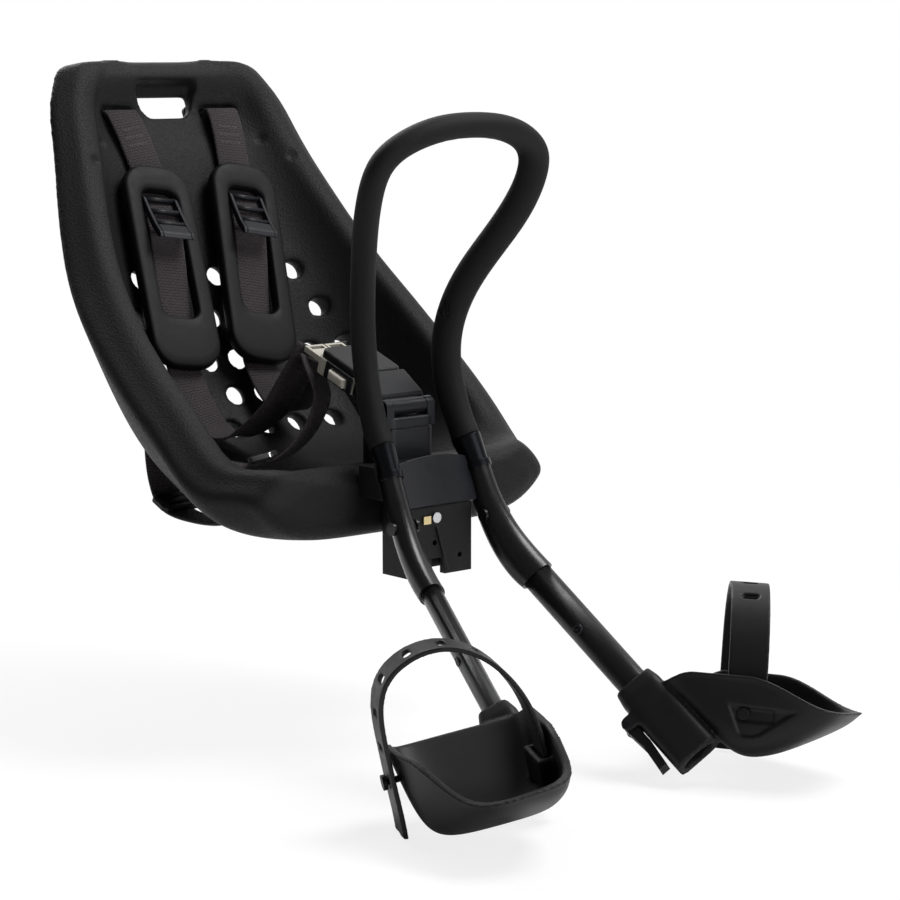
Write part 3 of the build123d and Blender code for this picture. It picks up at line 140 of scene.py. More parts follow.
@dataclass(frozen=True)
class Finish:
    """One real material with its colour, gloss and relief."""

    name: str
    colour: str
    patch: str
    roughness: float
    grain: Grain
    grain_mm: float
    depth_mm: float
    metallic: float = 0.0
    ior: float = 1.5
    specular: float = 0.5
    sheen: float = 0.0
    edge_mm: float = 0.0
    worn: str = ""
    patch_mm: float = 40.0
    gloss_spread: float = 0.08

    def material(self) -> bpy.types.Material:
        """Build the node material, or find it where it exists.

        Returns:
            The material.
        """
        known = bpy.data.materials.get(self.name)
        if known:
            return known
        made = bpy.data.materials.new(self.name)
        made.use_nodes = True
        tree = made.node_tree
        shader = tree.nodes["Principled BSDF"]
        shader.inputs["Metallic"].default_value = self.metallic
        if not self.metallic:
            shader.inputs["IOR"].default_value = self.ior
        shader.inputs["Specular IOR Level"].default_value = self.specular
        shader.inputs["Sheen Weight"].default_value = self.sheen
        height = self.relief(tree)
        bump = {"Strength": 1.0, "Distance": self.depth_mm * MM, "Height": height}
        colour = self.patches(tree)
        if self.edge_mm:
            rounded = add_node(tree, "ShaderNodeBevel", {"Radius": self.edge_mm * MM}, samples=6)
            bump["Normal"] = rounded.outputs[0]
            colour = self.wear(tree, colour, rounded.outputs[0])
        normal = add_node(tree, "ShaderNodeBump", bump)
        dull = self.roughness + self.gloss_spread
        shiny = self.roughness - self.gloss_spread
        rough = add_node(tree, "ShaderNodeMapRange", {0: height, 1: 0.0, 2: 1.0, 3: dull, 4: shiny})
        tree.links.new(colour, shader.inputs["Base Color"])
        tree.links.new(rough.outputs[0], shader.inputs["Roughness"])
        tree.links.new(normal.outputs[0], shader.inputs["Normal"])
        return made

    def patches(self, tree: bpy.types.NodeTree) -> bpy.types.NodeSocket:
        """Slow drift between the two colours, as dye and handling leave it.

        Args:
            tree: the material's tree.

        Returns:
            The drifting colour.
        """
        place = add_node(tree, "ShaderNodeTexCoord")
        drift = {"Vector": place.outputs["Object"], "Scale": 1 / (self.patch_mm * MM), "Detail": 3.0}
        noise = add_node(tree, "ShaderNodeTexNoise", drift)
        mix = {0: noise.outputs[0], 6: linear(self.colour), 7: linear(self.patch)}
        return add_node(tree, "ShaderNodeMix", mix, data_type="RGBA").outputs[2]

    def wear(
        self, tree: bpy.types.NodeTree, colour: bpy.types.NodeSocket, rounded: bpy.types.NodeSocket
    ) -> bpy.types.NodeSocket:
        """Paler rubbed edges where the rounded normal leaves the face's own.

        Args:
            tree: the material's tree.
            colour: colour before wear.
            rounded: normal with its edges rounded.

        Returns:
            Colour with wear.
        """
        if not self.worn:
            return colour
        face = add_node(tree, "ShaderNodeNewGeometry")
        turn = {0: rounded, 1: face.outputs["Normal"]}
        match = add_node(tree, "ShaderNodeVectorMath", turn, operation="DOT_PRODUCT")
        fade = {0: match.outputs["Value"], 1: 0.99, 2: 0.75, 3: 0.0, 4: 1.0}
        mask = add_node(tree, "ShaderNodeMapRange", fade)
        mix = {0: mask.outputs[0], 6: colour, 7: linear(self.worn)}
        return add_node(tree, "ShaderNodeMix", mix, data_type="RGBA").outputs[2]

    def relief(self, tree: bpy.types.NodeTree) -> bpy.types.NodeSocket:
        """Height from 0 to 1 for the bump, at the grain's real size.

        Args:
            tree: the material's tree.

        Returns:
            The height.
        """
        place = add_node(tree, "ShaderNodeTexCoord")
        spot = place.outputs["Object"]
        scale = 1 / (self.grain_mm * MM)
        if self.grain is Grain.WEAVE:
            threads = {
                "Vector": place.outputs["UV"],
                "Color1": (1, 1, 1, 1),
                "Color2": (0.8, 0.8, 0.8, 1),
                "Mortar": (0, 0, 0, 1),
                "Scale": 1.0,
                "Mortar Size": 0.2 * self.grain_mm,
                "Mortar Smooth": 1.0,
                "Brick Width": 1.6 * self.grain_mm,
                "Row Height": self.grain_mm,
            }
            return add_node(tree, "ShaderNodeTexBrick", threads, offset=0.5).outputs["Color"]
        if self.grain is Grain.LEATHER:
            swirl = add_node(tree, "ShaderNodeTexNoise", {"Vector": spot, "Scale": scale / 2, "Detail": 2.0})
            push = {0: swirl.outputs["Color"], 1: (0.5, 0.5, 0.5)}
            away = add_node(tree, "ShaderNodeVectorMath", push, operation="SUBTRACT")
            shift = {0: away.outputs[0], 1: (self.grain_mm * MM,) * 3, 2: spot}
            bent = add_node(tree, "ShaderNodeVectorMath", shift, operation="MULTIPLY_ADD")
            cells = {"Vector": bent.outputs[0], "Scale": scale, "Smoothness": 0.5}
            pebbles = add_node(tree, "ShaderNodeTexVoronoi", cells, feature="SMOOTH_F1")
            crown = {0: pebbles.outputs["Distance"], 1: 0.75, 2: 0.1}
            return add_node(tree, "ShaderNodeMapRange", crown).outputs[0]
        if self.grain is Grain.BRUSHED:
            lines = {"Vector": spot, "Scale": (scale, scale, scale / 40)}
            drawn = add_node(tree, "ShaderNodeMapping", lines)
            streaks = {"Vector": drawn.outputs[0], "Scale": 1.0, "Detail": 2.0}
            return add_node(tree, "ShaderNodeTexNoise", streaks).outputs[0]
        detail = {Grain.CELLS: 6.0, Grain.SPARK: 3.0, Grain.PEEL: 1.0}[self.grain]
        bumps = {"Vector": spot, "Scale": scale, "Detail": detail}
        return add_node(tree, "ShaderNodeTexNoise", bumps).outputs[0]


# One finish for each material slot of the record.
FINISHES: dict[str, Finish] = {
    # Moulded EVA foam: matt, with a soft pebbled skin that breaks up every highlight
    "eva_foam": Finish(
        "moulded_eva_foam", "#0f0f10", "#131314", 0.6, Grain.LEATHER, 1.4, 0.16,
        specular=0.16,
    ),
    # Nitrile foam sleeve: dead matt skin of tiny blown cells, drawn coarser than they are so that they show
    "grip_foam": Finish(
        "nitrile_foam_sleeve", "#0d0d0e", "#121212", 0.7, Grain.CELLS, 1.2, 0.06,
        specular=0.16,
    ),
    # Woven polyester: ribs catch the light and the grey has a warm, slightly purple cast
    "webbing": Finish(
        "polyester_webbing", "#383335", "#2b2729", 0.8, Grain.WEAVE, 2.0, 0.6,
        specular=0.15, sheen=0.06,
    ),
    # Moulded thermoplastic rubber: smooth and satin, a broad soft highlight
    "pad_rubber": Finish(
        "moulded_pad_rubber", "#0b0b0c", "#0f0f10", 0.52, Grain.PEEL, 5.0, 0.04,
        specular=0.13,
    ),
    # Glass-filled nylon: spark-eroded mould, matt with a slight glitter, rubbed edges
    "black_plastic": Finish(
        "glass_filled_nylon", "#0c0c0d", "#111112", 0.48, Grain.SPARK, 0.9, 0.04,
        specular=0.2, edge_mm=0.8, worn="#1c1c1e",
    ),
    # ABS from a polished mould: satin, bluish black
    "satin_plastic": Finish(
        "satin_abs", "#0f1013", "#131418", 0.42, Grain.PEEL, 6.0, 0.04,
        specular=0.2, edge_mm=0.8, worn="#25262c",
    ),
    # Acetal: pale warm grey, slightly waxy
    "grey_plastic": Finish(
        "grey_acetal", "#b3afa4", "#a5a195", 0.42, Grain.PEEL, 7.0, 0.04,
        edge_mm=0.6, worn="#c4c0b5",
    ),
    # Powder-coated aluminium tube: satin black with faint orange peel
    "tube_paint": Finish(
        "powder_coated_tube", "#0d0d0e", "#101012", 0.3, Grain.PEEL, 6.0, 0.003,
        specular=0.35, gloss_spread=0.04,
    ),
    # Black anodised aluminium: dark metal with a bright narrow highlight
    "collar_metal": Finish(
        "black_anodised_aluminium", "#2c2d30", "#222326", 0.3, Grain.BRUSHED, 0.5, 0.015,
        metallic=1.0, edge_mm=0.4,
    ),
    # Black-oxide steel: dark grey pins and rivets with an oily gleam
    "steel": Finish(
        "black_oxide_steel", "#3a3a3d", "#2c2c2f", 0.36, Grain.BRUSHED, 0.5, 0.02,
        metallic=1.0, edge_mm=0.3,
    ),
    # Polished stainless screw: bright and clean
    "bright_screw": Finish(
        "stainless_steel", "#c9cacc", "#b3b4b6", 0.22, Grain.BRUSHED, 0.4, 0.015,
        metallic=1.0, edge_mm=0.3,
    ),
    # Brass stop: dull gold
    "brass_stop": Finish(
        "brass_stop", "#a89a72", "#8f8058", 0.36, Grain.BRUSHED, 0.5, 0.02,
        metallic=1.0, edge_mm=0.3,
    ),
    # Thermoplastic strap: smooth rubber with a faint bloom
    "strap_rubber": Finish(
        "thermoplastic_strap", "#0e0e0e", "#141414", 0.48, Grain.PEEL, 4.0, 0.05,
        specular=0.26,
    ),
}
# Bonded nylon thread: a little paler than the webbing it is sewn through
THREAD = Finish("bonded_nylon_thread", "#4b474a", "#3f3c3e", 0.55, Grain.PEEL, 1.0, 0.02)


def new_piece(name: str, mesh: bpy.types.Mesh, finish: Finish) -> bpy.types.Object:
    """Put a mesh in the scene with one finish and smooth shading.

    Args:
        name: the piece's name.
        mesh: mesh in the model's frame, metres.
        finish: the only finish on it.

    Returns:
        The new object at the origin.
    """
    mesh.name = name
    mesh.materials.clear()
    mesh.materials.append(finish.material())
    mesh.shade_smooth()
    piece = bpy.data.objects.new(name, mesh)
    bpy.context.scene.collection.objects.link(piece)
    return piece


def meshed(name: str, work: bmesh.types.BMesh) -> bpy.types.Mesh:
    """Turn finished work to a mesh and let the work go.

    Args:
        name: name of the mesh.
        work: what was built.

    Returns:
        The new mesh.
    """
    mesh = bpy.data.meshes.new(name)
    work.to_mesh(mesh)
    work.free()
    return mesh


def axes(place: Vector, x: Vector, y: Vector, z: Vector) -> Matrix:
    """Frame at a place with the directions of its three axes."""
    return Matrix.Translation(place) @ Matrix((x, y, z)).transposed().to_4x4()


def bridge(
    work: bmesh.types.BMesh, rings: list[list[bmesh.types.BMVert]], closed: bool
) -> list[bmesh.types.BMFace]:
    """Join rings of points by faces, each ring to the next.

    Args:
        work: mesh that holds the rings.
        rings: rings with the same number of points.
        closed: whether the last ring joins the first.

    Returns:
        The new faces.
    """
    following = rings[1:] + rings[:1] if closed else rings[1:]
    made = []
    for ring, beyond in zip(rings, following):
        for step in range(len(ring)):
            after = (step + 1) % len(ring)
            made.append(work.faces.new([ring[step], ring[after], beyond[after], beyond[step]]))
    return made


def apply_modifiers(piece: bpy.types.Object) -> None:
    """Replace a piece's mesh by what its modifiers make of it.

    Args:
        piece: object with modifiers.
    """
    graph = bpy.context.evaluated_depsgraph_get()
    mesh = bpy.data.meshes.new_from_object(piece.evaluated_get(graph))
    piece.modifiers.clear()
    piece.data = mesh
    mesh.name = piece.name


def eased(value: float, low: float, high: float) -> float:
    """Smooth step from 0 at low to 1 at high."""
    share = min(max((value - low) / (high - low), 0.0), 1.0)
    return share * share * (3 - 2 * share)


def add_prism(work: bmesh.types.BMesh, place: Matrix, outline: Outline, start: float, stop: float) -> None:
    """Add a side view swept across a frame.

    Args:
        work: mesh that gets the prism.
        place: frame in millimetres, X across.
        outline: Y and Z of the side view, in order round it.
        start: where the prism begins across the frame.
        stop: where it ends.
    """
    ends = []
    for across in (start, stop):
        ends.append([work.verts.new((place @ Vector((across, y, z))) * MM) for y, z in outline])
    count = len(outline)
    made = []
    for index in range(count):
        after = (index + 1) % count
        made.append(work.faces.new([ends[0][index], ends[0][after], ends[1][after], ends[1][index]]))
    for end in ends:
        made.append(work.faces.new(end))
    bmesh.ops.recalc_face_normals(work, faces=made)


def add_sleeve(
    work: bmesh.types.BMesh, place: Matrix, rows: list[tuple[float, float, float, float]], count: int
) -> None:
    """Add a closed sleeve of rounded rings, down its outside and back up its inside.

    Args:
        work: mesh that gets the sleeve.
        place: frame in millimetres, Z along the sleeve.
        rows: distance along, half sizes in X and Y, and squareness of each ring.
        count: number of points round a ring.
    """
    rings = []
    for down, out, across, power in rows:
        ring = []
        for step in range(count):
            angle = 2 * pi * step / count
            x = copysign(abs(cos(angle)) ** (2 / power), cos(angle))
            y = copysign(abs(sin(angle)) ** (2 / power), sin(angle))
            ring.append(work.verts.new((place @ Vector((out * x, across * y, down))) * MM))
        rings.append(ring)
    made = bridge(work, rings, closed=True)
    bmesh.ops.recalc_face_normals(work, faces=made)


def softened(
    name: str,
    node: str,
    finish: Finish,
    voxel: float,
    rounds: int,
    extra: Callable[[bmesh.types.BMesh], None] | None = None,
    copied: bool = True,
) -> bpy.types.Object:
    """Make an even skin over closed forms that stand for a CAD node and round its edges.

    Args:
        name: the new piece's name.
        node: CAD node that the piece stands for.
        finish: finish of the piece.
        voxel: size of the skin's faces.
        rounds: passes of smoothing.
        extra: adds closed forms that grow together.
        copied: whether the node's own shape is one of the forms.

    Returns:
        The piece, standing for the node.
    """
    work = bmesh.new()
    if copied:
        work.from_mesh(frame["nodes"][node].data)
        bmesh.ops.remove_doubles(work, verts=work.verts, dist=MERGE)
        bmesh.ops.recalc_face_normals(work, faces=work.faces)
    if extra:
        extra(work)
    piece = new_piece(name, meshed(name, work), finish)
    skin = piece.modifiers.new("skin", "REMESH")
    skin.mode = "VOXEL"
    skin.voxel_size = voxel * MM
    skin.use_smooth_shade = True
    smooth = piece.modifiers.new("smooth", "SMOOTH")
    smooth.factor = 0.5
    smooth.iterations = rounds
    apply_modifiers(piece)
    piece.data.materials.clear()
    piece.data.materials.append(finish.material())
    piece.data.shade_smooth()
    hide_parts(node)
    return piece


def through(points: list[Vector], step: float, pull: float = 0.9) -> list[Vector]:
    """Smooth path through points.

    Args:
        points: places it passes, in millimetres.
        step: length between the path's own points.
        pull: how far the path keeps its direction at a place, as a share of the span.

    Returns:
        Points along a cubic through the given ones.
    """
    path = []
    ends = [2 * points[0] - points[1], *points, 2 * points[-1] - points[-2]]
    for before, start, stop, after in zip(ends, ends[1:], ends[2:], ends[3:]):
        span = (stop - start).length
        lead = (stop - before) * (span / max((stop - before).length, 1e-6)) * pull
        trail = (after - start) * (span / max((after - start).length, 1e-6)) * pull
        count = max(2, round(span / step))
        for index in range(count):
            t = index / count
            path.append(
                start * (2 * t**3 - 3 * t**2 + 1)
                + lead * (t**3 - 2 * t**2 + t)
                + stop * (3 * t**2 - 2 * t**3)
                + trail * (t**3 - t**2)
            )
    path.append(points[-1].copy())
    return path


@dataclass
class BackPanel:
    """Flat of the backrest, by which harness and dimples are placed."""

    foot_y: float = 200.5
    foot_z: float = 96.6
    recline: float = 26.0

    def point(self, across: float, rise: float, proud: float = 0.0) -> Vector:
        """Place on the back.

        Args:
            across: distance to the child's left of the middle.
            rise: distance up the back from its foot.
            proud: distance out towards the child.

        Returns:
            The place in the model's frame.
        """
        lean = radians(self.recline)
        return Vector(
            (
                across,
                self.foot_y + rise * sin(lean) - proud * cos(lean),
                self.foot_z + rise * cos(lean) + proud * sin(lean),
            )
        )

    def local(self, place: Vector) -> Vector:
        """Undo what point does.

        Args:
            place: place in the model's frame.

        Returns:
            Its distances across, up and out from the back.
        """
        lean = radians(self.recline)
        y = place.y - self.foot_y
        z = place.z - self.foot_z
        return Vector((place.x, y * sin(lean) + z * cos(lean), z * sin(lean) - y * cos(lean)))

    def facing(self) -> Vector:
        """Direction out of the back towards the child."""
        lean = radians(self.recline)
        return Vector((0.0, -cos(lean), sin(lean)))

    def plane(self) -> Matrix:
        """Frame of the back.

        Returns:
            Matrix with X across, Y up the back and Z towards the child.
        """
        lean = radians(self.recline)
        up = Vector((0.0, sin(lean), cos(lean)))
        return axes(self.point(0.0, 0.0), Vector((1, 0, 0)), up, self.facing())


@dataclass
class Ribbon:
    """Flat webbing swept along a route, with thread coordinates in its UV map."""

    width: float
    thick: float
    step: float = 2.5
    edge_share: float = 0.45
    flat_share: float = 0.9

    def section(self) -> list[tuple[float, float]]:
        """Outline across the webbing, with thinner edges.

        Returns:
            Points round it, across and out.
        """
        half = self.width / 2
        thin = self.thick / 2
        flat = half * self.flat_share
        top = [(-half, thin * self.edge_share), (-flat, thin), (0.0, thin), (flat, thin)]
        top.append((half, thin * self.edge_share))
        return top + [(x, -y) for x, y in reversed(top)]

    def mesh(self, name: str, points: list[Vector], across: Vector) -> bpy.types.Mesh:
        """Sweep the section along a smooth path.

        Args:
            name: name of the mesh.
            points: the route in millimetres.
            across: direction that the width stays close to.

        Returns:
            Mesh in metres with UV in millimetres.
        """
        path = through(points, self.step)
        outline = self.section()
        work = bmesh.new()
        layer = work.loops.layers.uv.new("threads")
        rings = []
        marks = []
        length = 0.0
        for index, here in enumerate(path):
            before = path[max(index - 1, 0)]
            after = path[min(index + 1, len(path) - 1)]
            run = (after - before).normalized()
            wide = (across - run * across.dot(run)).normalized()
            face = run.cross(wide)
            if index:
                length += (here - before).length
            rings.append([work.verts.new((here + wide * x + face * y) * MM) for x, y in outline])
            marks.append(length)
        count = len(outline)
        for index in range(len(rings) - 1):
            for place in range(count):
                beyond = (place + 1) % count
                corners = [(index, place), (index, beyond), (index + 1, beyond), (index + 1, place)]
                made = work.faces.new([rings[i][p] for i, p in corners])
                for loop, (i, p) in zip(made.loops, corners):
                    loop[layer].uv = (outline[p][0], marks[i])
        for ring in (rings[0], rings[-1]):
            work.faces.new(ring)
        bmesh.ops.recalc_face_normals(work, faces=work.faces)
        return meshed(name, work)

    def frame_at(self, points: list[Vector], across: Vector, near: Vector) -> Matrix:
        """Frame on the webbing where it passes a point: X across, Y along, Z out of its face.

        Args:
            points: the route in millimetres.
            across: direction that the width stays close to.
            near: point that the place is nearest to.

        Returns:
            Frame as a matrix, in millimetres.
        """
        path = through(points, self.step)
        index = min(range(1, len(path) - 1), key=lambda spot: (path[spot] - near).length)
        run = (path[index + 1] - path[index - 1]).normalized()
        wide = (across - run * across.dot(run)).normalized()
        return axes(path[index], wide, run, wide.cross(run))


class SewnThread:
    """Geometry Nodes tree that turns sewn lines into round thread."""

    def __init__(self) -> None:
        """Build the tree with its radius and finish as inputs."""
        self.tree = bpy.data.node_groups.new("sewn_thread", "GeometryNodeTree")
        face = self.tree.interface
        face.new_socket("Geometry", in_out="INPUT", socket_type="NodeSocketGeometry")
        self.radius = face.new_socket("Radius", in_out="INPUT", socket_type="NodeSocketFloat").identifier
        self.finish = face.new_socket("Finish", in_out="INPUT", socket_type="NodeSocketMaterial").identifier
        face.new_socket("Geometry", in_out="OUTPUT", socket_type="NodeSocketGeometry")
        source = add_node(self.tree, "NodeGroupInput")
        line = add_node(self.tree, "GeometryNodeMeshToCurve", {"Mesh": source.outputs["Geometry"]})
        ring = {"Resolution": 6, "Radius": source.outputs["Radius"]}
        profile = add_node(self.tree, "GeometryNodeCurvePrimitiveCircle", ring)
        sweep = {"Curve": line.outputs[0], "Profile Curve": profile.outputs[0], "Fill Caps": True}
        thread = add_node(self.tree, "GeometryNodeCurveToMesh", sweep)
        plain = add_node(self.tree, "GeometryNodeRealizeInstances", {"Geometry": thread.outputs[0]})
        dressed = {"Geometry": plain.outputs[0], "Material": source.outputs["Finish"]}
        done = add_node(self.tree, "GeometryNodeSetMaterial", dressed)
        add_node(self.tree, "NodeGroupOutput", {"Geometry": done.outputs[0]})

    def sew(self, name: str, lines: list[list[Vector]], radius: float, finish: Finish) -> bpy.types.Object:
        """Sew lines given in metres.

        Args:
            name: the piece's name.
            lines: points along each line of thread.
            radius: radius of the thread.
            finish: finish of the thread.

        Returns:
            The thread as one plain mesh.
        """
        mesh = bpy.data.meshes.new(name)
        points = [point for line in lines for point in line]
        edges = []
        first = 0
        for line in lines:
            edges += [(first + index, first + index + 1) for index in range(len(line) - 1)]
            first += len(line)
        mesh.from_pydata(points, edges, [])
        piece = new_piece(name, mesh, finish)
        modifier = piece.modifiers.new("thread", "NODES")
        modifier.node_group = self.tree
        modifier[self.radius] = radius * MM
        modifier[self.finish] = finish.material()
        apply_modifiers(piece)
        piece.data.shade_smooth()
        return piece


class RibRow:
    """Geometry Nodes tree that sets a row of round ribs at an even pitch."""

    def __init__(self) -> None:
        """Build the tree with count, pitch, length, radius and finish as inputs."""
        self.tree = bpy.data.node_groups.new("rib_row", "GeometryNodeTree")
        face = self.tree.interface
        face.new_socket("Geometry", in_out="INPUT", socket_type="NodeSocketGeometry")
        kinds = {"Count": "NodeSocketInt", "Pitch": "NodeSocketVector", "Length": "NodeSocketFloat"}
        kinds |= {"Radius": "NodeSocketFloat", "Finish": "NodeSocketMaterial"}
        self.keys = {}
        for name, kind in kinds.items():
            self.keys[name] = face.new_socket(name, in_out="INPUT", socket_type=kind).identifier
        face.new_socket("Geometry", in_out="OUTPUT", socket_type="NodeSocketGeometry")
        source = add_node(self.tree, "NodeGroupInput")
        row = {"Count": source.outputs["Count"], "Offset": source.outputs["Pitch"]}
        points = add_node(self.tree, "GeometryNodeMeshLine", row)
        bar = {"Vertices": 12, "Radius": source.outputs["Radius"], "Depth": source.outputs["Length"]}
        rib = add_node(self.tree, "GeometryNodeMeshCylinder", bar)
        spread = {"Points": points.outputs[0], "Instance": rib.outputs[0], "Rotation": (0.0, pi / 2, 0.0)}
        copies = add_node(self.tree, "GeometryNodeInstanceOnPoints", spread)
        plain = add_node(self.tree, "GeometryNodeRealizeInstances", {"Geometry": copies.outputs[0]})
        dressed = {"Geometry": plain.outputs[0], "Material": source.outputs["Finish"]}
        done = add_node(self.tree, "GeometryNodeSetMaterial", dressed)
        add_node(self.tree, "NodeGroupOutput", {"Geometry": done.outputs[0]})

    def row(
        self,
        name: str,
        place: Matrix,
        count: int,
        pitch: Vector,
        length: float,
        radius: float,
        finish: Finish,
    ) -> bpy.types.Object:
        """Make a row in a frame whose X runs along the ribs.

        Args:
            name: the piece's name.
            place: frame of the first rib, metres.
            count: number of ribs.
            pitch: step from rib to rib in that frame.
            length: length of a rib.
            radius: radius of a rib.
            finish: finish of the ribs.

        Returns:
            The row as one plain mesh.
        """
        piece = new_piece(name, bpy.data.meshes.new(name), finish)
        modifier = piece.modifiers.new("ribs", "NODES")
        modifier.node_group = self.tree
        modifier[self.keys["Count"]] = count
        modifier[self.keys["Pitch"]] = tuple(pitch * MM)
        modifier[self.keys["Length"]] = length * MM
        modifier[self.keys["Radius"]] = radius * MM
        modifier[self.keys["Finish"]] = finish.material()
        apply_modifiers(piece)
        piece.data.transform(place)
        piece.data.shade_smooth()
        return piece


@dataclass
class FoamBucket:
    """Moulded foam bucket with its dimples."""

    back: BackPanel
    voxel: float = 2.0
    rounds: int = 6
    dimples: tuple[tuple[float, float], ...] = ((68.0, 188.0), (84.0, 170.0))
    dimple_radius: float = 5.5
    dimple_depth: float = 2.2
    face_reach: float = 5.0
    # Ledge in the top of the grab slot: up the back and out from it
    ledge_half: float = 27.5
    ledge: Outline = (
        (237.0, -10.6),
        (237.0, -3.4),
        (229.2, -3.4),
        (227.0, -4.8),
        (226.4, -7.0),
        (227.0, -9.4),
        (229.2, -10.6),
    )

    def build(self) -> list[bpy.types.Object]:
        """Make the bucket from its CAD solid.

        Returns:
            The bucket alone.
        """
        finish = FINISHES["eva_foam"]
        bucket = softened("foam_bucket", "seat_shell", finish, self.voxel, self.rounds, self.add_ledge)
        self.press_dimples(bucket.data)
        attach(bucket, "seat")
        return [bucket]

    def add_ledge(self, work: bmesh.types.BMesh) -> None:
        """Fill the rear of the grab slot's top."""
        add_prism(work, self.back.plane(), self.ledge, -self.ledge_half, self.ledge_half)

    def press_dimples(self, mesh: bpy.types.Mesh) -> None:
        """Press small round dimples into the face of the back.

        Args:
            mesh: the bucket's mesh, whose points move.
        """
        inward = -self.back.facing()
        spots = [(side * across, rise) for across, rise in self.dimples for side in SIDES.values()]
        for vertex in mesh.vertices:
            here = self.back.local(vertex.co / MM)
            if here.z < -self.face_reach or vertex.normal.dot(inward) > 0:
                continue
            for across, rise in spots:
                away = Vector((here.x - across, here.y - rise)).length / self.dimple_radius
                if away < 1:
                    vertex.co += inward * (self.dimple_depth * MM * (1 - away**2) ** 2)


